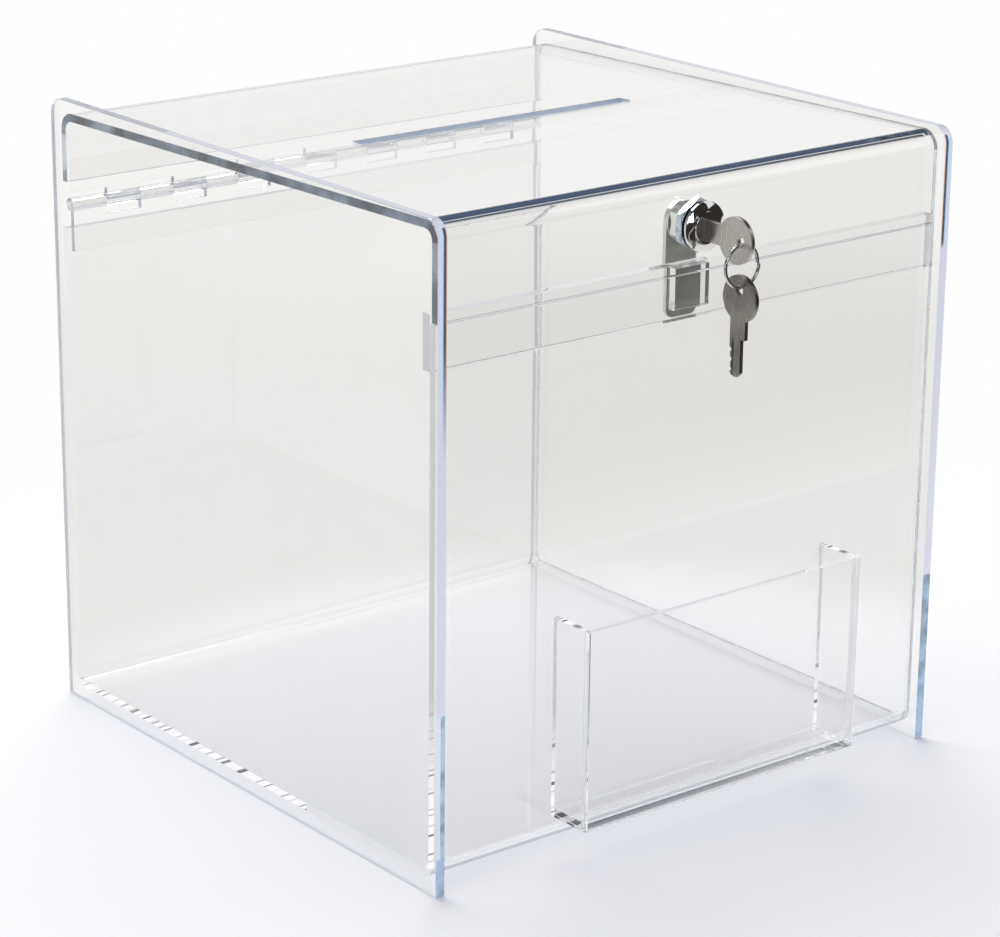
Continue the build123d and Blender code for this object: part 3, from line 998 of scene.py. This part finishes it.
def dress_faces(piece: Piece, material: Material, test: Callable[[Face], bool]) -> None:
    """Gives some faces of a dressed piece a finish of their own.

    Args:
        piece: The dressed object.
        material: The faces' finish.
        test: Says if a face gets it.
    """
    piece.data.materials.append(material)
    for face in piece.data.polygons:
        if test(face):
            face.material_index = len(piece.data.materials) - 1


def dress_ends(piece: Piece, material: Material, end: float) -> None:
    """Gives the end faces of a sheet across X a finish of their own.

    Args:
        piece: The sheet.
        material: The ends' finish.
        end: How far from the middle the sheet ends, in metres.
    """
    dress_faces(piece, material, lambda face: abs(face.normal.x) > FACING and abs(face.center.x) > end * NEAR_END)


@dataclass
class Housing:
    """The standing box: side panels, bent body sheet, stop strip and keeper block."""

    finishes: Finishes
    thickness: float = 4.0
    bend_radius: float = 9.0
    corner_radius: float = 8.0
    corner_steps: int = 20
    panel_polish: float = 0.35
    sheet_polish: float = 0.2
    strip_polish: float = 0.25
    block_polish: float = 0.3
    glue_gap: float = 0.08
    back_drop: float = 17.3
    front_lean: float = 0.45
    top_lean: float = 0.5

    def side_panel(self, side: Side, node: str) -> Piece:
        """A side panel with rounded top corners and polished edges.

        Args:
            side: Left or right.
            node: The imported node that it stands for.

        Returns:
            The finished object.
        """
        low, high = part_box(node)
        piece = add_block(f"{side.name.lower()}_panel", low, high)
        pick_edges(piece, lambda place, along: abs(along.x) > FACING and place.z > middle_of(node).z)
        with editing(piece, Pick.EDGES):
            bpy.ops.mesh.bevel(offset_type="OFFSET", offset=self.corner_radius * MM,
                               segments=self.corner_steps, affect="EDGES")
        polish_edges(piece, self.panel_polish)
        dress(piece, self.finishes.panel)
        front = self.finishes.panel_front if side is Side.LEFT else self.finishes.far_front
        dress_faces(piece, self.finishes.panel_top, lambda face: face.normal.z > self.top_lean)
        dress_faces(piece, front, lambda face: face.normal.y < -self.front_lean)
        dress_faces(piece, self.finishes.foot, lambda face: face.normal.y > FACING)
        dress_faces(piece, self.finishes.ground, lambda face: face.normal.z < -FACING)
        return hand_over(piece, node, "box")

    def body_sheet(self) -> Piece:
        """Front wall, floor and back wall in one bent sheet."""
        low, high = inset_box("body_sheet", (self.glue_gap, 0.0, 0.0))
        half = self.thickness / 2 * MM
        front, back, floor = low.y + half, high.y - half, low.z + half
        line = [Vector((0, front, high.z)), Vector((0, front, floor)), Vector((0, back, floor)),
                Vector((0, back, high.z - self.back_drop * MM))]
        piece = bent_sheet("bent_body", line, self.bend_radius - self.thickness / 2, self.thickness, (low.x, high.x))
        polish_edges(piece, self.sheet_polish)
        dress(piece, self.finishes.sheet)
        dress_ends(piece, self.finishes.sawn, high.x)
        dress_faces(piece, self.finishes.far_end, lambda face: face.material_index == 1 and face.center.x > 0)
        return hand_over(piece, "body_sheet", "box")

    def stop_strip(self) -> Piece:
        """The strip inside the top of the front wall."""
        low, high = inset_box("front_stop_strip", (self.glue_gap, 0.0, 0.0))
        low.y += self.glue_gap * MM
        piece = add_block("stop_strip", low, high)
        polish_edges(piece, self.strip_polish)
        dress(piece, self.finishes.glued)
        dress_ends(piece, self.finishes.cut, high.x)
        return hand_over(piece, "front_stop_strip", "box")

    def keeper(self) -> Piece:
        """The block behind the strip."""
        low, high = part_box("keeper_block")
        low.y += self.glue_gap * MM
        piece = add_block("keeper", low, high)
        polish_edges(piece, self.block_polish)
        dress(piece, self.finishes.sheet)
        return hand_over(piece, "keeper_block", "box")

    def build(self) -> None:
        """Builds all of it."""
        self.side_panel(Side.LEFT, "left_side_panel")
        self.side_panel(Side.RIGHT, "right_side_panel")
        self.body_sheet()
        self.stop_strip()
        self.keeper()


@dataclass
class Lid:
    """The bent lid sheet with its slot and the lock's hole."""

    finishes: Finishes
    thickness: float = 4.0
    bend_radius: float = 9.0
    top_fall: float = 5.0
    top_height: float = 302.2
    back_rise: float = 4.8
    slot_length: float = 160.0
    slot_width: float = 7.4
    cut_depth: float = 20.0
    cut_margin: float = 0.1
    wall_lean: float = 0.5
    polish: float = 0.25
    hole_diameter: float = 19.3
    hole_flats: float = 16.3
    flap_top: float = 289.0

    def top_at(self, along: float, low: Vector, high: Vector) -> float:
        """Height of the lid's upper face at a place along Y, in metres."""
        share = (along - low.y) / (high.y - low.y)
        return (self.top_height - self.top_fall * share) * MM

    def in_slot(self, face: Face, centre: Vector, half: Vector) -> bool:
        """Whether a face is one of the slot's walls.

        Args:
            face: The face.
            centre: The slot's middle, in metres.
            half: Half the slot's size, in metres.

        Returns:
            True for a wall of the slot.
        """
        place = face.center - centre
        reach = half + Vector((self.cut_margin, self.cut_margin, 0)) * MM
        return abs(place.x) < reach.x and abs(place.y) < reach.y and abs(face.normal.z) < self.wall_lean

    def build(self) -> Piece:
        """Bends the sheet and cuts the slot and the hole.

        Returns:
            The finished object.
        """
        low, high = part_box("lid_sheet")
        half = self.thickness / 2 * MM
        lean = math.atan2(self.top_fall * MM, high.y - low.y)
        front, back = low.y + half, high.y - half
        line = [Vector((0, front, low.z)),
                Vector((0, front, self.top_at(front, low, high) - half / math.cos(lean))),
                Vector((0, back, self.top_at(back, low, high) - half / math.cos(lean))),
                Vector((0, back, low.z + self.back_rise * MM))]
        piece = bent_sheet("bent_lid", line, self.bend_radius - self.thickness / 2, self.thickness, (low.x, high.x))
        middle = middle_of("left_side_panel").y
        slot_half = Vector((self.slot_length, self.slot_width, self.cut_depth)) * MM / 2
        centre = Vector((0, middle, self.top_at(middle, low, high)))
        combine(piece, add_block("slot_cutter", centre - slot_half, centre + slot_half))
        lock = middle_of("lock_housing")
        start = Vector((0, low.y - 2 * half, lock.z))
        end = Vector((0, low.y + 4 * half, lock.z))
        cutter = add_rod("hole_cutter", start, end, self.hole_diameter / 2 * MM)
        flat = self.hole_flats / 2 * MM
        side = self.hole_diameter * MM
        combine(cutter, add_block("flat_cutter", start - Vector((flat, 0, side)), end + Vector((flat, 0, side))),
                "INTERSECT")
        combine(piece, cutter)
        polish_edges(piece, self.polish)
        dress(piece, self.finishes.lid)
        dress_ends(piece, self.finishes.lid_end, high.x)
        dress_faces(piece, self.finishes.edge,
                    lambda face: face.material_index == 1 and face.center.z > self.flap_top * MM)
        dress_faces(piece, self.finishes.slot, lambda face: self.in_slot(face, centre, slot_half))
        return hand_over(piece, "lid_sheet", "lid")


@dataclass
class Hinge:
    """The clear piano hinge: two leaves and the rod through their knuckles."""

    finishes: Finishes
    glue_gap: float = 0.08
    near: float = 0.001
    knuckle_radius: float = 3.3

    def leaf(self, name: str, node: str, body: str) -> Piece:
        """One leaf with its knuckles, its glued face drawn off the wall by a hair.

        Args:
            name: The object's name.
            node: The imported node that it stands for.
            body: The body that it rides on.

        Returns:
            The finished object.
        """
        piece = fine_copy(name, node)
        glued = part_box(node)[1].y - self.near * MM
        pick_edges(piece, lambda place, along: place.y > glued)
        with editing(piece, Pick.EDGES):
            bpy.ops.transform.translate(value=(0, -self.glue_gap * MM, 0))
        shade(piece)
        dress(piece, self.finishes.glued)
        axis = middle_of("hinge_pin").z
        dress_faces(piece, self.finishes.sheet, lambda face: abs(face.center.z - axis) < self.knuckle_radius * MM)
        return hand_over(piece, node, body)

    def build(self) -> None:
        """Builds the leaves and the rod."""
        self.leaf("lower_leaf", "hinge_body_leaf", "box")
        self.leaf("upper_leaf", "hinge_lid_leaf", "lid")
        rod = fine_copy("hinge_rod", "hinge_pin")
        shade(rod)
        dress(rod, self.finishes.sheet)
        hand_over(rod, "hinge_pin", "box")


@dataclass
class Pocket:
    """The leaflet pocket on the front wall."""

    finishes: Finishes
    glue_gap: float = 0.08
    polish: float = 0.2

    def plate(self, name: str, node: str, gaps: Place) -> Piece:
        """One plate of the pocket.

        Args:
            name: The object's name.
            node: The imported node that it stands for.
            gaps: How far its sides are drawn in along each axis, in millimetres.

        Returns:
            The finished object.
        """
        low, high = inset_box(node, gaps)
        piece = add_block(name, low, high)
        polish_edges(piece, self.polish)
        dress(piece, self.finishes.glued)
        cheek = gaps[0] == 0.0
        dress_faces(piece, self.finishes.strip, lambda face: cheek and face.normal.y > FACING)
        dress_faces(piece, self.finishes.rim, lambda face: cheek and face.normal.z > FACING)
        return hand_over(piece, node, "box")

    def build(self) -> None:
        """Builds the four plates."""
        gap = self.glue_gap
        self.plate("pocket_face", "pocket_front", (gap / 4, 0.0, 0.0))
        self.plate("pocket_cheek_left", "pocket_left_side", (0.0, gap, 0.0))
        self.plate("pocket_cheek_right", "pocket_right_side", (0.0, gap, 0.0))
        self.plate("pocket_base", "pocket_floor", (gap, gap, 0.0))


@dataclass
class Lock:
    """The cam lock: housing, core, nut, cam, washers and screw."""

    finishes: Finishes
    barrel_diameter: float = 19.0
    nut_chamfer: float = 1.1
    nut_corner: float = 12.7
    cam_corner: float = 4.0
    corner_steps: int = 14
    square_hole: float = 7.1
    head_polish: float = 0.16
    nut_polish: float = 0.12
    nut_angle: float = 20.0
    cam_polish: float = 0.22
    on_barrel: float = 0.1

    def rounded(self, name: str, node: str, width: float) -> Piece:
        """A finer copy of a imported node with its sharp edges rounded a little.

        Args:
            name: The new object's name.
            node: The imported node.
            width: How wide its rounded edges are, in millimetres.

        Returns:
            The new object, without a finish.
        """
        piece = fine_copy(name, node)
        polish_edges(piece, width)
        return piece

    def housing(self) -> Piece:
        """Chrome head with a rounded rim, and its barrel with a fine thread."""
        piece = self.rounded("chrome_housing", "lock_housing", self.head_polish)
        dress(piece, self.finishes.chrome)
        middle = middle_of("lock_housing").z
        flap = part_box("lid_sheet")[0].y
        dress_faces(piece, self.finishes.thread, lambda face: self.on_thread(face, middle, flap))
        return hand_over(piece, "lock_housing", "lid")

    def on_thread(self, face: Face, middle: float, flap: float) -> bool:
        """Whether a face of the housing lies on the barrel's outside, behind the flap's front.

        Args:
            face: The face.
            middle: Height of the lock's axis, in metres.
            flap: Where the flap's front is along Y, in metres.

        Returns:
            True where the thread goes.
        """
        out = Vector((face.center.x, 0, face.center.z - middle))
        off = abs(out.length - self.barrel_diameter / 2 * MM)
        return face.center.y > flap and off < self.on_barrel * MM and face.normal.dot(out.normalized()) > FACING

    def nut(self) -> Piece:
        """Hex nut with its corners turned down at both ends."""
        piece = fine_copy("zinc_nut", "lock_nut")
        low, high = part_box("lock_nut")
        thick = (high.y - low.y) / MM
        flats = (high.x - low.x) / 2 / MM
        outline = [(0.0, 0.0), (flats, 0.0), (self.nut_corner, self.nut_chamfer),
                   (self.nut_corner, thick - self.nut_chamfer), (flats, thick), (0.0, thick)]
        centre = Vector((0, low.y, middle_of("lock_nut").z))
        combine(piece, add_lathe("nut_turning", outline, centre), "INTERSECT")
        polish_edges(piece, self.nut_polish, angle=self.nut_angle)
        dress(piece, self.finishes.zinc)
        return hand_over(piece, "lock_nut", "lid")

    def cam(self) -> Piece:
        """Strip with a round top end, a square hole and two rounded lower corners."""
        low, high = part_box("cam")
        half = (high.x - low.x) / 2
        turn = high.z - half
        piece = add_block("cam_strip", low, Vector((high.x, high.y, turn)))
        pick_edges(piece, lambda place, along: abs(along.y) > FACING and place.z < turn - half)
        with editing(piece, Pick.EDGES):
            bpy.ops.mesh.bevel(offset_type="OFFSET", offset=self.cam_corner * MM, segments=self.corner_steps,
                               affect="EDGES")
        start, end = Vector((0, low.y, turn)), Vector((0, high.y, turn))
        combine(piece, add_rod("cam_end", start, end, half), "UNION")
        hole = Vector((self.square_hole, 3 * (high.y - low.y) / MM, self.square_hole)) * MM / 2
        centre = (start + end) / 2
        combine(piece, add_block("cam_hole", centre - hole, centre + hole))
        polish_edges(piece, self.cam_polish)
        dress(piece, self.finishes.cam)
        return hand_over(piece, "cam", "lock_core")

    def build(self) -> None:
        """Builds the finer pieces and dresses the hidden ones."""
        self.housing()
        self.nut()
        self.cam()
        for name, node, width, material, slot in (
                ("core", "lock_plug", 0.14, self.finishes.chrome, "lock_chrome"),
                ("turn_stop", "stop_washer", 0.12, self.finishes.cam, "cam_steel"),
                ("spring_washer", "cam_washer", 0.08, self.finishes.screw, "cam_steel"),
                ("cam_bolt", "cam_screw", 0.10, self.finishes.screw, "screw_zinc")):
            piece = self.rounded(name, node, width)
            dress(piece, material)
            hand_over(piece, node, "lock_core")
        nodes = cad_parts
        for node, material in (("lock_wafers", self.finishes.brass), ("wafer_springs", self.finishes.spring)):
            dress(nodes[node], material)
            LOG.info("%s: dressed in %s", node, material.name)


@dataclass
class Keys:
    """The two keys and the split ring that joins them."""

    finishes: Finishes
    rim_radius: float = 2.85
    rim_wire: float = 0.32
    ring_wear: float = 0.05
    hole_inset: float = 6.8
    edge: float = 0.22

    def rim(self, name: str, centre: Vector) -> Piece:
        """A low bead round a key's hole, on one face.

        Args:
            name: Its name.
            centre: The hole's middle on that face, in metres.

        Returns:
            The new object.
        """
        deselect_all()
        bpy.ops.mesh.primitive_torus_add(location=centre, rotation=(0, math.radians(90), 0),
                                         major_radius=self.rim_radius * MM, minor_radius=self.rim_wire * MM,
                                         major_segments=64, minor_segments=16)
        return settle(bpy.context.object, name)

    def key(self, name: str, node: str, body: str, hole: Vector, material: Material) -> Piece:
        """One key with rounded edges and a bead round its hole on both faces.

        Args:
            name: The object's name.
            node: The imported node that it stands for.
            body: The body that it rides on.
            hole: The hole's middle, in metres.
            material: Its finish.

        Returns:
            The finished object.
        """
        piece = fine_copy(name, node)
        polish_edges(piece, self.edge)
        low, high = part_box(node)
        for side, face in ((Side.LEFT, low.x), (Side.RIGHT, high.x)):
            sunk = face - side.value * self.rim_wire / 2 * MM
            combine(piece, self.rim(f"{name}_{side.name.lower()}_bead", Vector((sunk, hole.y, hole.z))), "UNION")
        shade(piece)
        dress(piece, material)
        return hand_over(piece, node, body)

    def build(self) -> None:
        """Builds both keys and dresses the ring."""
        low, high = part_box("key")
        middle = (low + high) / 2
        hole = Vector((0, low.y + self.hole_inset * MM, middle.z))
        self.key("front_key", "key", "key", hole, self.finishes.nickel)
        low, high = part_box("spare_key")
        hanging = Vector((0, (low.y + high.y) / 2, high.z - self.hole_inset * MM))
        # The hanging key gets the darker nickel copy, painted shade.
        self.key("hanging_key", "spare_key", "spare_key", hanging, self.finishes.shaded_nickel)
        ring = fine_copy("split_ring", "key_ring")
        with editing(ring, Pick.POINTS):
            pick_all()
            bpy.ops.transform.shrink_fatten(value=-self.ring_wear * MM)
        shade(ring)
        dress(ring, self.finishes.ring)
        hand_over(ring, "key_ring", "key_ring")


@dataclass
class Studio:
    """Floor, lamps, background and camera."""

    focal_pixels: float = 3378.34
    image_width: int = 1000
    sensor: float = 36.0
    clip: Span = (0.05, 50.0)
    camera_place: Place = (-968.5954, -1197.5413, 641.8579)
    azimuth: float = 38.7349
    elevation: float = 18.3129
    roll: float = 0.5694
    floor_reach: float = 2.2
    floor_gap: float = 0.2
    floor_colour: Colour = (0.86, 0.86, 0.88)
    floor_roughness: float = 0.9
    # glow_colour is shared by the floor's glow and the painted pool of light under the box, whose strength is
    # painted_footprint_strength.
    glow_colour: Colour = (1.0, 0.965, 0.915)
    floor_glow: float = 0.06
    painted_footprint_strength: float = 0.10
    footprint_edge: Span = (0.92, 1.04)
    footprint_round: float = 0.2
    backdrop_colour: Colour = (0.85, 0.845, 0.83)
    far_colour: Colour = (0.94, 0.935, 0.92)
    fade_centre: Place = (0.0, -0.1, 0.0)
    through_span: Span = (0.22, 0.36)
    fade_span: Span = (0.28, 0.56)
    far_span: Span = (0.80, 1.15)
    ceiling_colour: Colour = (0.065, 0.092, 0.145)
    ceiling_steps: tuple[Span, ...] = ((0.05, 0.80), (0.12, 0.40), (0.22, 0.02))
    sweep_front: Span = (-0.60, -0.36)
    room_colour: Colour = (0.035, 0.032, 0.030)
    room_direction: Place = (0.6, -0.8, 0.0)
    room_sides: Span = (0.0, 0.2)
    window_middle: Span = (-0.06, 0.14)
    window_half: Span = (0.20, 0.15)
    window_bar: float = 0.07
    window_level: float = 3.0
    wall_sides: Span = (0.55, 0.85)
    wall_top: Span = (0.34, 0.44)
    wall_level: float = 0.95
    plain_light: float = 0.30
    bounces: int = 24
    clear_bounces: int = 64
    lamp_aim: Place = (0.0, 0.0, 0.15)

    def camera(self) -> None:
        """Places the camera where the photograph was taken from."""
        data = bpy.data.cameras.new("Camera")
        data.sensor_width = self.sensor
        data.lens = self.focal_pixels / self.image_width * self.sensor
        data.clip_start, data.clip_end = self.clip
        camera = bpy.data.objects.new("Camera", data)
        bpy.context.scene.collection.objects.link(camera)
        az, el, roll = (math.radians(angle) for angle in (self.azimuth, self.elevation, self.roll))
        ahead = Vector((math.sin(az) * math.cos(el), math.cos(az) * math.cos(el), -math.sin(el)))
        right = Vector((math.cos(az), -math.sin(az), 0))
        above = right.cross(ahead)
        turned_right = right * math.cos(roll) + above * math.sin(roll)
        turned_up = above * math.cos(roll) - right * math.sin(roll)
        turn = Matrix((turned_right, turned_up, -ahead)).transposed()
        camera.matrix_world = Matrix.Translation(Vector(self.camera_place) * MM) @ turn.to_4x4()
        bpy.context.scene.camera = camera

    def floor(self) -> None:
        """A plain pale floor that the camera sees as white where no shadow falls."""
        deselect_all()
        bpy.ops.mesh.primitive_circle_add(vertices=ROUND_SIDES, radius=self.floor_reach, fill_type="NGON",
                                          location=(0, 0, -self.floor_gap * MM))
        floor = settle(bpy.context.object, "Floor")
        material, graph, shader = new_material("Pale floor", self.floor_colour, {
            "Roughness": self.floor_roughness, "Specular IOR Level": 0.0})
        seen = self.seen_mask(graph)
        # The floor's glow for seen rays, plus the painted pool of light under the box.
        strength = graph.math("MULTIPLY_ADD", seen, self.floor_glow, self.painted_footprint_light(graph))
        lit = graph.add("ShaderNodeAddShader")
        graph.feed(lit.inputs[0], shader.outputs["BSDF"])
        graph.feed(lit.inputs[1], graph.glow(self.glow_colour, strength))
        distance = graph.vector("DISTANCE", graph.place(), self.fade_centre)
        through, straight, far = (graph.ranged(distance, span, smooth=True)
                                  for span in (self.through_span, self.fade_span, self.far_span))
        direct = graph.rays()["Is Camera Ray"]
        share = graph.math("MULTIPLY", graph.blend(direct, through, straight, kind="FLOAT"), seen)
        away = graph.blend(far, self.backdrop_colour, self.far_colour)
        white = graph.glow(graph.blend(direct, away, WHITE))
        faded = graph.mix(share, lit.outputs["Shader"], white)
        ended = graph.mix(self.front_end(graph), faded, graph.glow(self.room_colour))
        graph.feed(material.node_tree.nodes["Material Output"].inputs["Surface"], ended)
        dress(floor, material)

    def front_end(self, graph: Graph) -> Socket:
        """1 where the pale floor has ended in front of the box, for mirrored rays only.

        Args:
            graph: The floor's graph.

        Returns:
            The output that gives the mask.
        """
        along = graph.parts(graph.place())["Y"]
        edge = graph.ranged(along, self.sweep_front, (1.0, 0.0), smooth=True)
        return graph.math("MULTIPLY", edge, self.mirrored(graph))

    @staticmethod
    def mirrored(graph: Graph) -> Socket:
        """1 for rays that a surface has mirrored, 0 for those that only went through clear sheets."""
        return graph.math("GREATER_THAN", graph.rays()["Glossy Depth"], 0.5)

    def painted_footprint_light(self, graph: Graph) -> Socket:
        """A painted pool of light on the ground inside the box's footprint, emitted and seen only through the sheets,
        in place of light that the clear sheets lead down.

        Args:
            graph: The floor's graph.

        Returns:
            The output that gives its strength.
        """
        low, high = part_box("body_sheet")
        shifted = graph.vector("SUBTRACT", graph.place(), (low + high) / 2)
        scaled = graph.vector("DIVIDE", shifted, (high - low) / 2)
        size = graph.parts(graph.vector("ABSOLUTE", scaled))
        reach = graph.math("SMOOTH_MAX", size["X"], size["Y"], self.footprint_round)
        edge = graph.ranged(reach, self.footprint_edge, (self.painted_footprint_strength, 0.0), smooth=True)
        return graph.math("MULTIPLY", edge, graph.rays()["Is Transmission Ray"])

    @staticmethod
    def seen_mask(graph: Graph) -> Socket:
        """1 for what the camera sees, straight, mirrored or through glass.

        Args:
            graph: The graph to build in.

        Returns:
            The output that gives the mask.
        """
        ray = graph.rays()
        first = graph.math("MAXIMUM", ray["Is Camera Ray"], ray["Is Glossy Ray"])
        return graph.math("MAXIMUM", first, ray["Is Transmission Ray"])

    def lamp(self, name: str, place: Vector, size: Span, power: float) -> None:
        """A soft rectangular lamp that faces the box.

        Args:
            name: The lamp's name.
            place: Where it hangs, in metres.
            size: Its width and height, in metres.
            power: Its power, in watts.
        """
        data = bpy.data.lights.new(name, "AREA")
        data.shape = "RECTANGLE"
        data.size, data.size_y = size
        data.energy = power
        lamp = bpy.data.objects.new(name, data)
        bpy.context.scene.collection.objects.link(lamp)
        turn = (Vector(self.lamp_aim) - place).to_track_quat("-Z", "Y").to_matrix().to_4x4()
        lamp.matrix_world = Matrix.Translation(place) @ turn

    def background(self) -> None:
        """White for the camera; a studio with a dark ceiling for mirrored and refracted rays; plain light else."""
        world = bpy.data.worlds.new("Studio")
        world.use_nodes = True
        bpy.context.scene.world = world
        graph = Graph(world.node_tree)
        plain = world.node_tree.nodes["Background"]
        graph.feed(plain.inputs["Color"], WHITE)
        graph.feed(plain.inputs["Strength"], self.plain_light)
        studio = graph.add("ShaderNodeBackground", Color=self.studio_colour(graph)).outputs["Background"]
        white = graph.add("ShaderNodeBackground", Color=WHITE).outputs["Background"]
        ray = graph.rays()
        bounced = graph.math("MAXIMUM", ray["Is Glossy Ray"], ray["Is Transmission Ray"])
        around = graph.mix(bounced, plain.outputs["Background"], studio)
        graph.feed(world.node_tree.nodes["World Output"].inputs["Surface"],
                   graph.mix(ray["Is Camera Ray"], around, white))

    def studio_colour(self, graph: Graph) -> Socket:
        """The room: a dark ceiling, a pale wall, and a dark side with a window for mirrored rays.

        Args:
            graph: The world's graph.

        Returns:
            The output that gives its colour.
        """
        ray = graph.place("Generated")
        split = graph.parts(ray)
        steps = [(place, tuple(low + (high - low) * share for low, high in zip(self.ceiling_colour, self.far_colour)))
                 for place, share in self.ceiling_steps]
        sky = graph.ramp(split["Z"], [(0.0, self.far_colour), *steps, (1.0, self.ceiling_colour)])
        az = math.radians(self.azimuth)
        ahead = graph.vector("DOT_PRODUCT", ray, (math.sin(az), math.cos(az), 0.0))
        wall = graph.ranged(ahead, self.wall_sides, smooth=True)
        top = graph.ranged(split["Z"], self.wall_top, (self.wall_level, 0.0), smooth=True)
        bright = graph.blend(graph.math("MULTIPLY", wall, top), sky, self.far_colour)
        mirrored = self.mirrored(graph)
        facing = graph.vector("DOT_PRODUCT", ray, self.room_direction)
        behind = graph.math("MULTIPLY", graph.ranged(facing, self.room_sides, smooth=True), mirrored)
        room = graph.blend(behind, bright, self.room_colour)
        panes = graph.math("MULTIPLY", self.window(graph, split), mirrored)
        return graph.blend(panes, room, (self.window_level,) * 3)

    def window(self, graph: Graph, split: Sockets) -> Socket:
        """A window in front of the box with one bar down its middle, as chrome shows it.

        Args:
            graph: The world's graph.
            split: The ray's direction as X, Y and Z.

        Returns:
            The output that is 1 on the panes.
        """
        across, up = self.window_middle
        total = graph.math("LESS_THAN", split["Y"], 0.0)
        wide = graph.math("COMPARE", split["X"], across, self.window_half[0])
        tall = graph.math("COMPARE", split["Z"], up, self.window_half[1])
        bar = graph.math("COMPARE", split["X"], across, self.window_bar / 2)
        for mask in (wide, tall, graph.math("SUBTRACT", 1.0, bar)):
            total = graph.math("MULTIPLY", total, mask)
        return total

    def build(self) -> None:
        """Builds the stage."""
        scene = bpy.context.scene
        scene.view_settings.view_transform = "Standard"
        scene.cycles.max_bounces = self.bounces
        scene.cycles.transmission_bounces = self.bounces
        scene.cycles.glossy_bounces = self.bounces
        scene.cycles.transparent_max_bounces = self.clear_bounces
        self.camera()
        self.floor()
        self.background()
        self.lamp("Key", Vector((-1.5, -0.2, 1.7)), (1.2, 1.2), 10.0)
        self.lamp("Fill", Vector((1.6, -1.2, 1.3)), (0.9, 1.2), 3.0)
        self.lamp("Back", Vector((0.3, 1.0, 1.9)), (1.6, 1.2), 42.0)


def main() -> None:
    """Builds the whole scene in order."""
    logging.basicConfig(level=logging.INFO, format="%(message)s")
    finishes = Finishes()
    for part in (Housing(finishes), Lid(finishes), Hinge(finishes), Pocket(finishes), Lock(finishes), Keys(finishes),
                 Studio()):
        part.build()


if __name__ == "__main__":
    main()
